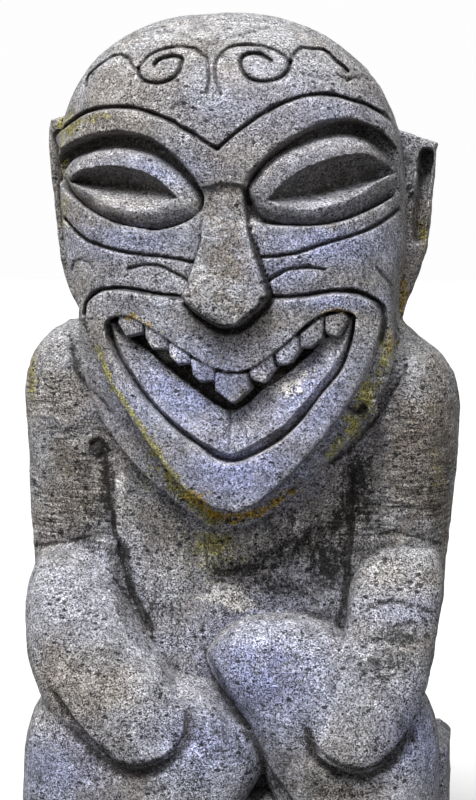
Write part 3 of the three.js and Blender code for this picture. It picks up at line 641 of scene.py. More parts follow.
# Creases in the body: points along each with the proud side on the left of the way, the width of the proud
# side's wall and of the sunk side's slope in pixels, and the depth in metres
CREASES = [
    ([(104, 450), (107, 474), (112, 505), (115, 532)], 2, 6, 0.009),
    ([(148, 628), (136, 604), (129, 584), (123, 565), (118, 548)], 2.5, 10, 0.009),
    ([(92, 444), (100, 440), (105, 450), (100, 456)], 5, 5, 0.012),
    ([(110, 436), (118, 431), (123, 424)], 3, 3, 0.006),
    ([(354, 476), (352, 520), (350, 570), (344, 616), (330, 655)], 2.5, 8, 0.007),
    ([(56, 694), (75, 720), (96, 744), (116, 762), (142, 766), (166, 756), (182, 736), (186, 712)],
     2.5, 16, 0.007),
    ([(309, 730), (320, 751), (342, 766), (367, 769), (392, 754), (407, 734)], 2.5, 16, 0.007),
    ([(207, 652), (226, 692), (250, 735), (272, 772), (296, 804)], 3, 9, 0.006),
    ([(112, 530), (88, 537), (60, 541), (34, 546)], 4, 3, 0.004),
    ([(442, 545), (420, 537), (395, 534), (364, 538)], 4, 3, 0.003),
    ([(406, 366), (382, 411), (353, 447), (319, 471), (290, 492)], 3, 6, 0.005),
    ([(118, 424), (104, 404), (77, 372), (69, 328)], 3, 6, 0.005),
    ([(349, 408), (357, 412), (364, 408)], 5, 5, 0.009),
    ([(252, 651), (263, 654), (272, 653)], 2.5, 2.5, 0.003),
    ([(302, 74), (311, 76), (323, 79)], 3, 3, 0.004),
    ([(339, 75), (344, 78)], 2.5, 2.5, 0.005),
    ([(347, 80), (354, 77), (360, 79)], 3, 3, 0.007),
    ([(362, 75), (366, 78), (371, 81)], 3, 3, 0.006),
    ([(171, 108), (178, 104), (183, 106)], 4, 4, 0.003),
    ([(203, 118), (209, 121), (212, 117)], 4, 4, 0.003),
    ([(380, 604), (396, 602), (416, 606), (430, 612)], 4, 4, 0.003),
    ([(366, 622), (392, 626), (412, 622)], 4, 4, 0.003),
]


def near_line(line, across, down):
    """How far each place is from a line of points, in pixels, and whether it is on the line's left."""
    best, left = np.full(len(across), 1e3), np.zeros(len(across), bool)
    low, high = np.min(line, 0) - 30, np.max(line, 0) + 30
    near = (across > low[0]) & (across < high[0]) & (down > low[1]) & (down < high[1])
    x, y = across[near], down[near]
    distances, sides = [], []
    for (ax, ay), (bx, by) in zip(line, line[1:]):
        dx, dy = bx - ax, by - ay
        share = np.clip(((x - ax) * dx + (y - ay) * dy) / (dx * dx + dy * dy), 0, 1)
        distances.append(np.hypot(x - ax - share * dx, y - ay - share * dy))
        sides.append(dx * (y - ay) - dy * (x - ax) < 0)
    nearest = np.argmin(distances, 0)
    best[near] = np.min(distances, 0)
    left[near] = np.array(sides)[nearest, np.arange(len(x))]
    return best, left


GROUND_EDGE = (-58, -30)


def weathering(places):
    """How far the worn skin stands out, in thousandths: less on the dressed face than on the body."""
    face = ease(places[:, 2], 430, 500) * ease(-places[:, 1], 40, 80)
    low_edge = ease(places[:, 2], *GROUND_EDGE)
    broad = 1.5 * noise(places, 64, 11) + 0.8 * noise(places + 300, 30, 12)
    rough = 0.7 * noise(places, 13, 13) + 0.45 * noise(places + 70, 6.5, 14)
    return ((1 - 0.6 * face) * broad + (1 - 0.55 * face) * rough) * low_edge


def creases(world, facing):
    """How far each place is pushed back from the camera, in metres."""
    across, down = in_photo(world)
    wander = 1.8 * noise(world, 0.024, 21) + 0.9 * noise(world, 0.009, 22)
    uneven = 0.8 + 0.45 * noise(world, 0.04, 23)
    depth = np.zeros(len(world))
    for line, wall, slope, deepest in CREASES:
        away, proud = near_line(smooth(line, 24), across + wander, down + 0.5 * wander)
        reach, bend = np.where(proud, wall, slope), np.where(proud, 1.4, 1.1)
        depth = np.maximum(depth, deepest * uneven * np.clip(1 - away / reach, 0, 1) ** bend)
    return depth * ease(facing, 0.0, 0.3)


def carve():
    """The whole field of the stone."""
    stone = np.full(SHAPE, BAND, np.float32)
    base(stone)
    body(stone)
    head(stone)
    return stone


def blurred(stone, reaches):
    """How much of each place's surroundings is stone, for each reach in steps of the grid."""
    full = np.clip(0.5 - stone, 0, 1)
    results = []
    for reach in reaches:
        soft = full
        for _ in range(2):
            for axis in range(3):
                total = np.cumsum(soft, axis=axis, dtype=np.float32)
                soft = (np.roll(total, -reach, axis) - np.roll(total, reach + 1, axis)) / (2 * reach + 1)
        results.append(soft)
    return results


def figure_to_world(points):
    """Places of the figure's frame in metres."""
    world = points * THOUSANDTH
    world[:, 1] += FIGURE_SET_BACK
    world[:, 2] += BASE_HEIGHT
    return world


def world_to_figure(points):
    """Places in metres as places of the figure's frame."""
    return (points - np.array([0, FIGURE_SET_BACK, BASE_HEIGHT])) / THOUSANDTH


def mesh_of(name, places, faces):
    """A mesh from arrays of places and of faces' corners."""
    mesh = bpy.data.meshes.new(name)
    mesh.vertices.add(len(places))
    mesh.vertices.foreach_set("co", places.astype(np.float32).ravel())
    corners = np.concatenate([face.ravel() for face in faces])
    sizes = np.concatenate([np.full(len(face), face.shape[1]) for face in faces])
    mesh.loops.add(len(corners))
    mesh.loops.foreach_set("vertex_index", corners.astype(np.int32))
    mesh.polygons.add(len(sizes))
    mesh.polygons.foreach_set("loop_start", np.concatenate([[0], np.cumsum(sizes)[:-1]]).astype(np.int32))
    mesh.update(calc_edges=True)
    return mesh


def read(mesh, what):
    """The places or normals of a mesh's vertices."""
    values = np.zeros(len(mesh.vertices) * 3, np.float32)
    mesh.vertices.foreach_get(what, values)
    return values.reshape(-1, 3).astype(float)


def statue(stone):
    """The stone's skin, weathered, in no more triangles than the piece may have."""
    grid = vdb.FloatGrid(background=BAND)
    grid.copyFromArray(stone)
    points, triangles, quads = grid.convertToPolygons(isovalue=0.0, adaptivity=0.0)
    places = from_grid(points)
    mesh = mesh_of("carved_stone", figure_to_world(places), [quads[:, ::-1], triangles[:, ::-1]])
    normals = read(mesh, "normal")
    if normals[places[:, 2].argmax(), 2] < 0:
        mesh.flip_normals()
        normals = -normals
    world = figure_to_world(places + normals * weathering(places)[:, None])
    world -= creases(world, normals @ TO_CAMERA)[:, None] * TO_CAMERA
    mesh.vertices.foreach_set("co", world.astype(np.float32).ravel())
    mesh.update()
    piece = bpy.data.objects.new("carved_stone", mesh)
    bpy.context.scene.collection.objects.link(piece)
    fewer = piece.modifiers.new("fewer", "DECIMATE")
    fewer.ratio = MOST_TRIANGLES / (2 * len(quads) + len(triangles))
    worked = piece.evaluated_get(bpy.context.evaluated_depsgraph_get())
    piece.data = bpy.data.meshes.new_from_object(worked)
    piece.modifiers.clear()
    inside = np.clip(read(piece.data, "co"), np.array(LOW), np.array(HIGH))
    piece.data.vertices.foreach_set("co", inside.astype(np.float32).ravel())
    piece.data.update()
    piece.data.polygons.foreach_set("use_smooth", np.ones(len(piece.data.polygons), bool))
    return piece


# Stains, tints, painted shadows, painted light and the strokes of the tool below the chin, in pixels of the
# photograph:
# soft spots (x, y, half width, half height, strength) and lines (points, half width, strength)
SPOTS = {
    "strokes": [(215, 556, 30, 14, 1.0), (255, 545, 34, 14, 1.0), (300, 524, 30, 16, 1.0),
                (338, 496, 20, 18, 0.8)],
    "moss": [(68, 125, 14, 16, 0.8), (64, 160, 8, 26, 0.7), (64, 215, 6, 30, 0.5), (32, 375, 6, 30, 0.7),
             (215, 545, 30, 22, 0.8), (365, 400, 12, 26, 0.9), (352, 425, 12, 22, 0.9),
             (385, 350, 9, 24, 0.7), (240, 590, 26, 20, 0.4), (150, 470, 20, 40, 0.4),
             (222, 318, 60, 18, 0.25), (424, 232, 7, 18, 0.9), (437, 470, 10, 60, 0.4),
             (215, 565, 40, 20, 0.5)],
    "ochre": [(236, 517, 20, 5, 1.0), (252, 514, 16, 6, 0.9), (195, 497, 16, 8, 0.7),
              (290, 492, 14, 6, 0.8), (424, 240, 7, 18, 0.5), (404, 300, 8, 34, 0.8),
              (392, 340, 8, 18, 0.7), (300, 482, 14, 8, 0.5)],
    "pale": [(226, 596, 26, 13, 1.1), (240, 606, 14, 7, 1.4), (214, 580, 14, 8, 0.9),
             (166, 356, 20, 9, 0.8), (152, 346, 10, 8, 0.6), (283, 385, 24, 15, 0.9),
             (300, 372, 16, 12, 0.7), (371, 405, 7, 12, 1.0), (256, 220, 7, 4, 1.0), (253, 230, 3, 6, 0.9),
             (121, 490, 5, 28, 1.0), (240, 545, 50, 12, 0.6), (296, 522, 34, 12, 0.6),
             (180, 560, 34, 30, 0.4), (330, 345, 14, 22, 0.5), (250, 575, 40, 12, 0.35),
             (358, 332, 10, 20, 0.4)],
    # Brown stain, with painted shade under the brows, the eyeballs and the nose, at the nose's root and on
    # the chest below the head
    "brown_and_shade": [(232, 190, 20, 9, 0.8), (105, 140, 46, 7, 0.9), (118, 220, 60, 10, 0.7),
              (320, 224, 60, 9, 0.6), (228, 262, 34, 62, 0.75), (415, 260, 14, 50, 0.5),
              (70, 470, 36, 80, 0.55), (420, 460, 44, 84, 1.0), (160, 560, 60, 70, 0.32),
              (60, 630, 46, 60, 0.4), (195, 420, 60, 14, 0.25), (300, 440, 50, 12, 0.2),
              (225, 300, 36, 10, 0.3), (205, 330, 50, 14, 0.35), (400, 400, 40, 40, 0.35),
              (190, 620, 40, 30, 0.3), (85, 270, 20, 30, 0.4), (60, 250, 10, 60, 0.4),
              (110, 430, 60, 30, 0.4), (400, 640, 50, 40, 0.3)],
    # Mostly painted shadow: in the armpits and creases, under the chin, round the hands and between the legs,
    # with some dark dirt
    "black_and_shadow": [(358, 478, 16, 30, 1.1), (326, 562, 28, 30, 0.95), (365, 505, 14, 30, 0.8),
              (100, 449, 12, 9, 1.6), (108, 490, 9, 40, 1.0), (119, 560, 12, 34, 1.1),
              (124, 600, 14, 28, 1.1), (362, 410, 7, 7, 1.4), (270, 585, 40, 20, 0.6),
              (150, 610, 30, 24, 0.5), (170, 550, 30, 40, 0.45), (95, 515, 22, 24, 0.6),
              (398, 636, 36, 16, 0.9), (380, 664, 34, 22, 0.75), (265, 788, 26, 18, 0.7),
              (285, 552, 30, 8, 0.6), (330, 560, 14, 40, 0.5), (60, 705, 14, 14, 0.5),
              (215, 705, 14, 12, 0.4), (240, 760, 30, 30, 0.45), (90, 540, 30, 8, 0.5),
              (412, 190, 7, 60, 0.6), (350, 100, 10, 6, 0.4), (233, 521, 10, 4, 0.8)],
    "blue": [(190, 390, 70, 50, 1.0), (240, 470, 70, 40, 1.0), (310, 400, 60, 60, 0.8),
             (130, 240, 60, 25, 0.7), (320, 245, 70, 25, 0.9), (285, 270, 40, 30, 0.7),
             (265, 670, 70, 70, 1.0), (210, 740, 60, 50, 0.8), (330, 300, 60, 12, 0.8),
             (150, 170, 60, 20, 0.7), (320, 180, 60, 50, 0.35), (260, 110, 90, 40, 0.35),
             (100, 590, 60, 50, 0.35), (400, 610, 50, 20, 0.5), (60, 770, 50, 40, 0.7),
             (420, 740, 40, 50, 0.8), (140, 300, 40, 30, 0.3), (330, 120, 60, 30, 0.5),
             (160, 640, 40, 20, 0.3)],
    # Paler patches: painted light on the crown and the tops of the shoulders, and paler stone lower down
    "lit_and_pale": [(230, 25, 90, 26, 0.45), (150, 60, 60, 26, 0.45), (310, 50, 60, 26, 0.45),
              (50, 350, 30, 16, 0.35), (425, 350, 26, 20, 0.3), (165, 540, 34, 50, 0.45),
              (250, 548, 70, 16, 0.5), (90, 760, 60, 40, 0.3), (200, 695, 34, 9, 0.3)],
}
STREAKS = {
    "moss": [([(98, 348), (112, 385), (136, 420), (158, 455), (176, 482)], 3.5, 0.9),
             ([(168, 476), (190, 500), (214, 520)], 9, 0.9),
             ([(392, 345), (376, 385), (352, 425), (330, 455)], 8, 0.7),
             ([(60, 130), (80, 120), (110, 116)], 5, 0.6)],
    "ochre": [([(126, 318), (134, 316), (143, 320), (152, 326)], 2.5, 0.9),
              ([(322, 314), (338, 310), (356, 316)], 3, 0.9),
              ([(190, 492), (212, 514), (236, 521), (262, 512), (282, 497)], 4.5, 1.0),
              ([(150, 324), (190, 350), (215, 365)], 2, 0.6)],
    "pale": [([(112, 455), (118, 500), (122, 540)], 3.5, 0.5),
             ([(146, 345), (165, 365), (186, 385)], 5, 0.6)],
    # Painted shadow lines under the jaw and the nose, in the armpits and creases and round the hands
    "black_and_shadow": [([(353, 470), (351, 540), (349, 590)], 3, 0.7),
              ([(216, 574), (259, 566), (295, 546), (340, 520), (362, 470)], 12, 0.85),
              ([(190, 305), (205, 318), (224, 328), (236, 329), (262, 303)], 4, 0.9),
              ([(92, 445), (106, 450), (110, 480), (115, 530)], 4, 0.8),
              ([(119, 550), (124, 580), (136, 612)], 6, 0.9),
              ([(206, 649), (228, 690), (250, 735), (265, 770)], 4, 0.45),
              ([(38, 537), (60, 532), (88, 528)], 3, 0.8), ([(36, 545), (60, 543), (90, 536)], 2.5, 0.9),
              ([(45, 505), (70, 500), (100, 505)], 2.5, 0.5),
              ([(50, 520), (80, 514), (104, 520)], 2.5, 0.5),
              ([(368, 536), (395, 531), (440, 543)], 2.5, 0.7),
              ([(366, 606), (395, 600), (432, 612)], 4, 0.8),
              ([(362, 628), (392, 628), (425, 620)], 5, 0.7),
              ([(100, 745), (118, 764), (160, 758)], 2, 0.6),
              ([(350, 770), (372, 768), (398, 748)], 2, 0.6)],
}


def stain_and_shade_strength(name, across, down, facing):
    """The strength of one stain or tint at each place; some of them are painted shadow and painted light."""
    value = np.zeros(len(across))
    for x, y, half_width, half_height, strength in SPOTS[name]:
        spread = ((across - x) / half_width) ** 2 + ((down - y) / half_height) ** 2
        value = np.maximum(value, strength * np.exp(-spread))
    for line, half_width, strength in STREAKS.get(name, []):
        away = near_line(line, across, down)[0]
        value = np.maximum(value, strength * np.exp(-(away / half_width) ** 2))
    return value * ease(facing, 0.0, 0.35)


# Cut lines this deep, in thousandths, and creases this deep, in metres, get the full painted shade
DEEP_CUT, DEEP_CREASE = 7, 0.009


def shade_in_cut_lines(world, facing):
    """1 in the bottom of the cut lines and creases, 0 a little way off: a mask for the painted shade in them.
    """
    places = world_to_figure(world)
    x, z = in_head(places[:, 0], places[:, 2])
    dark = np.zeros(len(world))
    front = (places[:, 1] < HEAD_Y - 40) & (facing > -0.3)
    for line, width, depth in CUTS:
        low, high = np.min(line, 0) - 8, np.max(line, 0) + 8
        near = front & (x > low[0]) & (x < high[0]) & (z > low[1]) & (z < high[1])
        away = from_line(smooth(line, 40), x[near], z[near] + CUT_LOWER / 2)
        shade = min(depth / DEEP_CUT, 1) * (1 - ease(away, width * 0.2, width * 0.62))
        dark[near] = np.maximum(dark[near], shade)
    across, down = in_photo(world)
    uneven = 0.7 + 0.6 * noise(world, 0.03, 24)
    for line, wall, slope, deepest in CREASES:
        away, proud = near_line(smooth(line, 24), across, down)
        close = np.clip(1 - away / np.where(proud, 0.9 * wall, 0.27 * slope), 0, 1)
        dark = np.maximum(dark, min(deepest / DEEP_CREASE, 1) * uneven * close * (facing > 0))
    return dark


def note(mesh, name, values):
    mesh.attributes.new(name, "FLOAT", "POINT").data.foreach_set("value", values.astype(np.float32))


NEAR_REACH, WIDE_REACH = 2, 7
# Depths below which the mouth and the sockets are painted darker, as shade
SUNK_MOUTH, SUNK_SOCKET = 29, 19


def mark(mesh, stone):
    """Notes on each vertex how hollow its surroundings are, where shade is painted, and the strengths of
    stains and painted light.
    """
    world, normals = read(mesh, "co"), read(mesh, "normal")
    places = world_to_figure(world)
    index = to_grid(places)
    reaches = (NEAR_REACH, WIDE_REACH)
    for name, reach, full in zip(("hollow_near", "hollow_wide"), reaches, blurred(stone, reaches)):
        inside = np.clip(np.round(index).astype(int), reach + 1, np.array(SHAPE) - reach - 2)
        note(mesh, name, full[inside[:, 0], inside[:, 1], inside[:, 2]] - 0.5)
    x, z = in_head(places[:, 0], places[:, 2])
    on_face = places[:, 1] < HEAD_Y - 60
    # Painted shade: the deep mouth and sockets and the upper slopes of the eye slits are marked to be
    # darkened
    sunk = ease(-face_relief(x, z) - np.where(z < EYE_FOOT, SUNK_MOUTH, SUNK_SOCKET), 0, 9) * on_face
    for side in range(2):
        inside, above, _, rise = slit(side, x, z)
        sunk = np.maximum(sunk, (0.85 - 0.2 * rise) * (inside & above & on_face))
    note(mesh, "sunk", sunk)
    across, down = in_photo(world)
    facing = normals @ TO_CAMERA
    for name in SPOTS:
        note(mesh, name, stain_and_shade_strength(name, across, down, facing))
    note(mesh, "cut", shade_in_cut_lines(world, facing))
    height, forwards = places[:, 2], -places[:, 1]
    arms = ease(np.abs(places[:, 0] - 4), 95, 130) * ease(height, 400, 430) * (1 - ease(height, 560, 640))
    note(mesh, "tooled", 0.25 + 0.75 * arms * (1 - ease(forwards, 120, 140)))
    note(mesh, "dressed", ease(height, 440, 520) * ease(forwards, 90, 140))


# The stone's look, with painted light and shade

class Sheet:
    """Adds nodes to one node tree and joins them."""

    def __init__(self, tree):
        self.tree = tree

    def add(self, kind, values=None, **settings):
        node = self.tree.nodes.new(kind)
        for name, value in settings.items():
            setattr(node, name, value)
        for name, value in (values or {}).items():
            self.set(node.inputs[name], value)
        return node

    def set(self, socket, value):
        if isinstance(value, bpy.types.NodeSocket):
            self.tree.links.new(value, socket)
        else:
            socket.default_value = value

    def calc(self, operation, *values, clamp=False):
        values = dict(enumerate(values))
        return self.add("ShaderNodeMath", values, operation=operation, use_clamp=clamp).outputs[0]

    def times(self, first, second):
        return self.calc("MULTIPLY", first, second)

    def plus(self, first, second):
        return self.calc("ADD", first, second)

    def minus(self, first, second, clamp=False):
        return self.calc("SUBTRACT", first, second, clamp=clamp)

    def most(self, first, second):
        return self.calc("MAXIMUM", first, second)

    def fit(self, value, low, high, to_low=0.0, to_high=1.0, soft=True):
        values = {"Value": value, "From Min": low, "From Max": high, "To Min": to_low, "To Max": to_high}
        kind = "SMOOTHSTEP" if soft else "LINEAR"
        return self.add("ShaderNodeMapRange", values, interpolation_type=kind).outputs["Result"]

    def mix(self, share, first, second, blend="MIX"):
        node = self.add("ShaderNodeMix", {0: share, 6: first, 7: second}, data_type="RGBA", blend_type=blend)
        return node.outputs[2]

    def scaled(self, vector, by):
        return self.add("ShaderNodeVectorMath", {0: vector, 1: by}, operation="MULTIPLY").outputs[0]

    def noise(self, place, scale, detail=2.0, roughness=0.5):
        values = {"Vector": place, "Scale": scale, "Detail": detail, "Roughness": roughness}
        return self.add("ShaderNodeTexNoise", values).outputs["Fac"]

    def attribute(self, name):
        return self.add("ShaderNodeAttribute", attribute_name=name).outputs["Fac"]

    def use(self, group, values):
        node = self.add("ShaderNodeGroup", node_tree=group)
        for name, value in values.items():
            self.set(node.inputs[name], value)
        return node.outputs


def new_group(name, inputs, outputs):
    """A node group's sheet, with the sockets at its start and end. An input without a value is a vector."""
    tree = bpy.data.node_groups.new(name, "ShaderNodeTree")
    for label, value in inputs.items():
        kind = "NodeSocketVector" if value is None else "NodeSocketFloat"
        socket = tree.interface.new_socket(label, in_out="INPUT", socket_type=kind)
        if value is not None:
            socket.default_value = value
    for label in outputs:
        tree.interface.new_socket(label, in_out="OUTPUT", socket_type="NodeSocketFloat")
    start, end = tree.nodes.new("NodeGroupInput"), tree.nodes.new("NodeGroupOutput")
    return Sheet(tree), start.outputs, end.inputs


def stone_grain():
    """Dark and light grains, in soft clumps and in small crystals: a shade to multiply by, and a height."""
    inputs = {"Place": None, "Per Metre": 400.0, "Contrast": 0.5}
    sheet, given, result = new_group("stone_grain", inputs, ["Shade", "Height"])
    clumps = sheet.fit(sheet.noise(given["Place"], given["Per Metre"], 3.0, 0.72), 0.36, 0.64, -1.0, 1.0)
    cell_size = sheet.times(given["Per Metre"], 1.5)
    cells = sheet.add("ShaderNodeTexVoronoi", {"Vector": given["Place"], "Scale": cell_size})
    crystal = sheet.add("ShaderNodeSeparateColor", {0: cells.outputs["Color"]}).outputs[0]
    crystals = sheet.fit(crystal, 0.0, 1.0, -1.0, 1.0, soft=False)
    level = sheet.plus(sheet.times(clumps, 0.40), sheet.times(crystals, 0.68))
    sheet.set(result["Shade"], sheet.plus(1.0, sheet.times(level, given["Contrast"])))
    sheet.set(result["Height"], level)
    return sheet.tree


def stone_pits():
    """Round pits of mixed sizes, in some of the cells only."""
    inputs = {"Place": None, "Per Metre": 200.0, "Share": 0.4, "Radius": 0.35}
    sheet, given, result = new_group("stone_pits", inputs, ["Pit"])
    values = {"Vector": given["Place"], "Scale": given["Per Metre"]}
    warp = sheet.add("ShaderNodeTexNoise", {**values, "Detail": 1.0})
    shifted = sheet.scaled(warp.outputs["Color"], (0.004, 0.004, 0.004))
    moved = sheet.add("ShaderNodeVectorMath", {0: given["Place"], 1: shifted}, operation="ADD").outputs[0]
    cells = sheet.add("ShaderNodeTexVoronoi", {**values, "Vector": moved, "Randomness": 1.0})
    chance = sheet.add("ShaderNodeSeparateColor", {0: cells.outputs["Color"]}).outputs[0]
    chosen = sheet.calc("LESS_THAN", chance, given["Share"])
    smaller = sheet.fit(chance, 0.0, given["Share"], 1.0, 0.45, soft=False)
    size = sheet.times(given["Radius"], smaller)
    depth = sheet.minus(1.0, sheet.calc("DIVIDE", cells.outputs["Distance"], size), clamp=True)
    sheet.set(result["Pit"], sheet.times(chosen, sheet.fit(depth, 0.0, 0.3)))
    return sheet.tree


def broken_stain_and_shade():
    """A soft mask broken up into blotches and flecks."""
    inputs = {"Place": None, "Per Metre": 90.0, "Mask": 0.0, "Ragged": 0.8}
    sheet, given, result = new_group("broken_stain_and_shade", inputs, ["Stain"])
    blotches = sheet.noise(given["Place"], given["Per Metre"], 5.0, 0.7)
    swing = sheet.times(sheet.minus(blotches, 0.5), given["Ragged"])
    raw = sheet.plus(given["Mask"], sheet.times(swing, 2.2))
    gate = sheet.fit(given["Mask"], 0.02, 0.25)
    sheet.set(result["Stain"], sheet.times(gate, sheet.fit(raw, 0.3, 0.85)))
    return sheet.tree


GREY = (0.42, 0.42, 0.44, 1)
BLUE_GREY = (0.41, 0.445, 0.69, 1)
WARM_GREY = (0.37, 0.34, 0.31, 1)
# Paler grey of worn edges and paler patches, and of the painted light on the tops
PALE_AND_LIT_GREY = (0.70, 0.69, 0.71, 1)
# Dark for dirt and for painted shade in hollows, cut lines, deep slits and undersides
DIRT_AND_SHADE = (0.026, 0.022, 0.019, 1)
PIT_DARK = (0.022, 0.022, 0.026, 1)
CRYSTAL = (0.85, 0.85, 0.88, 1)
STAIN_AND_SHADE_LOOKS = [
    # name, colour, patches per metre, raggedness, strength
    ("lit_and_pale", PALE_AND_LIT_GREY, 60.0, 0.6, 0.75),
    ("brown_and_shade", (0.20, 0.165, 0.125, 1), 70.0, 0.8, 0.75),
    ("pale", (0.92, 0.88, 0.87, 1), 110.0, 1.0, 1.0),
    ("moss", (0.43, 0.39, 0.075, 1), 120.0, 1.1, 0.85),
    ("ochre", (0.50, 0.33, 0.04, 1), 140.0, 1.0, 0.92),
    ("black_and_shadow", (0.016, 0.015, 0.016, 1), 110.0, 1.3, 0.90),
]


def stone_with_painted_light_and_shade():
    """Grey volcanic stone: grain, pits, worn edges, dirt and painted shade in hollows, painted light on tops,
    weather stains.
    """
    look = bpy.data.materials.new("weathered_stone_painted_light_and_shade")
    look.use_nodes = True
    sheet = Sheet(look.node_tree)
    shader = look.node_tree.nodes["Principled BSDF"]
    shader.inputs["Specular IOR Level"].default_value = 0.28
    place = sheet.add("ShaderNodeTexCoord").outputs["Object"]
    dressed = sheet.attribute("dressed")
    grain_group, pit_group, stain_and_shade_group = stone_grain(), stone_pits(), broken_stain_and_shade()

    def grain(per_metre, contrast, vector=place):
        values = {"Place": vector, "Per Metre": per_metre, "Contrast": contrast}
        return sheet.use(grain_group, values)

    def pits(per_metre, share, radius, vector=place):
        values = {"Place": vector, "Per Metre": per_metre, "Share": share, "Radius": radius}
        return sheet.use(pit_group, values)["Pit"]

    def broken(mask, per_metre, ragged):
        values = {"Place": place, "Per Metre": per_metre, "Mask": mask, "Ragged": ragged}
        return sheet.use(stain_and_shade_group, values)["Stain"]

    def patches(per_metre, detail, roughness, *limits):
        return sheet.fit(sheet.noise(place, per_metre, detail, roughness), *limits)

    def by_dressing(rough, fine):
        return sheet.fit(dressed, 0.0, 1.0, rough, fine, soft=False)

    # The body of the stone: grey, bluer and browner in patches
    colour = sheet.mix(patches(9.0, 4.0, 0.6, 0.38, 0.62), GREY, WARM_GREY)
    blueness = sheet.times(sheet.attribute("blue"), patches(28.0, 4.0, 0.6, 0.12, 0.48))
    # Less blue where the mouth and the slits are painted in shade
    blueness = sheet.times(blueness, sheet.minus(1.0, sheet.attribute("sunk")))
    colour = sheet.mix(blueness, colour, BLUE_GREY)
    # Stains of weather; the light one is partly painted light, the brown one partly painted shade, the black
    # one mostly painted shadow
    for name, tint, per_metre, ragged, strength in STAIN_AND_SHADE_LOOKS:
        share = sheet.times(broken(sheet.attribute(name), per_metre, ragged), strength)
        colour = sheet.mix(share, colour, tint)
    # Paler where the stone stands proud (wear) and where it faces up (painted light on dry tops); dirt and
    # painted shade below
    normal = sheet.add("ShaderNodeNewGeometry").outputs["Normal"]
    up = sheet.add("ShaderNodeSeparateXYZ", {0: normal}).outputs["Z"]
    proud = sheet.fit(sheet.attribute("hollow_near"), -0.02, -0.16)
    worn = sheet.times(proud, patches(60.0, 3.0, 0.6, 0.35, 0.6))
    colour = sheet.mix(sheet.times(worn, 0.30), colour, PALE_AND_LIT_GREY)
    # Painted light: surfaces that face up are made paler, as lit tops that are also dry
    top = sheet.times(sheet.fit(up, 0.35, 0.95), 0.38)
    colour = sheet.mix(top, colour, PALE_AND_LIT_GREY)
    # Grain, with marks of the chisel across the arms and of the tool down the chest
    mottle = sheet.times(patches(38.0, 5.0, 0.65, 0.3, 0.7, 0.70, 1.26), by_dressing(0.90, 1.04))
    rough_grain = grain(230.0, 0.40)
    strength = sheet.times(patches(14.0, 3.0, 0.6, 0.38, 0.62, 0.75, 1.15), by_dressing(1.40, 1.12))
    fine_grain = grain(520.0, strength)
    shade = sheet.times(mottle, sheet.times(rough_grain["Shade"], fine_grain["Shade"]))
    chisel = grain(230.0, 0.85, sheet.scaled(place, (0.12, 0.12, 1.0)))
    chisel_here = sheet.times(sheet.attribute("tooled"), patches(11.0, 2.0, 0.5, 0.35, 0.6))
    chiselled = sheet.plus(1.0, sheet.times(sheet.minus(chisel["Shade"], 1.0), chisel_here))
    shade = sheet.times(shade, chiselled)
    stroke_strength = sheet.times(sheet.attribute("strokes"), 0.8)
    strokes = grain(190.0, stroke_strength, sheet.scaled(place, (1.0, 1.0, 0.10)))
    shade = sheet.times(shade, strokes["Shade"])
    grey_shade = sheet.add("ShaderNodeCombineColor", {0: shade, 1: shade, 2: shade}).outputs[0]
    colour = sheet.mix(1.0, colour, grey_shade, "MULTIPLY")
    # Dirt and painted shade in the hollows; painted shade in the cut lines, deep slits and on the undersides
    # Painted shade: surfaces that face down are darkened
    under = sheet.times(sheet.fit(up, -0.25, -0.75), 0.62)
    # Painted shade with some dirt: places with much stone round them, in hollows and recesses, are darkened
    shade_and_dirt_near = sheet.fit(sheet.attribute("hollow_near"), 0.05, 0.30)
    shade_and_dirt_wide = sheet.times(sheet.fit(sheet.attribute("hollow_wide"), 0.06, 0.36), by_dressing(1.0, 0.5))
    dirt_and_shade = sheet.most(sheet.times(shade_and_dirt_near, 0.85), sheet.times(shade_and_dirt_wide, 0.52))
    dirt_and_shade = sheet.most(dirt_and_shade, under)
    # Painted shade in the deep mouth and the eye slits
    dirt_and_shade = sheet.most(dirt_and_shade, sheet.times(sheet.attribute("sunk"), 0.9))
    # Painted shade in the cut lines and creases
    dirt_and_shade = sheet.most(dirt_and_shade, sheet.times(sheet.attribute("cut"), 0.95))
    dirt_and_shade = sheet.times(dirt_and_shade, patches(150.0, 4.0, 0.7, 0.25, 0.55, 0.65, 1.0))
    dirt_and_shade = sheet.times(dirt_and_shade, sheet.fit(sheet.attribute("pale"), 0.3, 0.8, 1.0, 0.25))
    colour = sheet.mix(dirt_and_shade, colour, DIRT_AND_SHADE)
    # Pits and crystals
    many = patches(16.0, 3.0, 0.6, 0.35, 0.65)
    small_pits = pits(300.0, sheet.fit(many, 0.0, 1.0, 0.25, 0.7), 0.46)
    large_share = sheet.times(sheet.fit(many, 0.1, 1.0, 0.08, 0.55), by_dressing(1.0, 0.3))
    large_pits = pits(130.0, large_share, 0.42, sheet.scaled(place, (0.7, 0.7, 1.25)))
    colour = sheet.mix(sheet.times(small_pits, 0.88), colour, PIT_DARK)
    colour = sheet.mix(sheet.times(large_pits, 0.85), colour, PIT_DARK)
    crystals = pits(520.0, 0.10, 0.42)
    colour = sheet.mix(sheet.times(crystals, 0.7), colour, CRYSTAL)
    sheet.set(shader.inputs["Base Color"], colour)
    sheet.set(shader.inputs["Roughness"], sheet.fit(fine_grain["Height"], -1.0, 1.0, 0.96, 0.78))
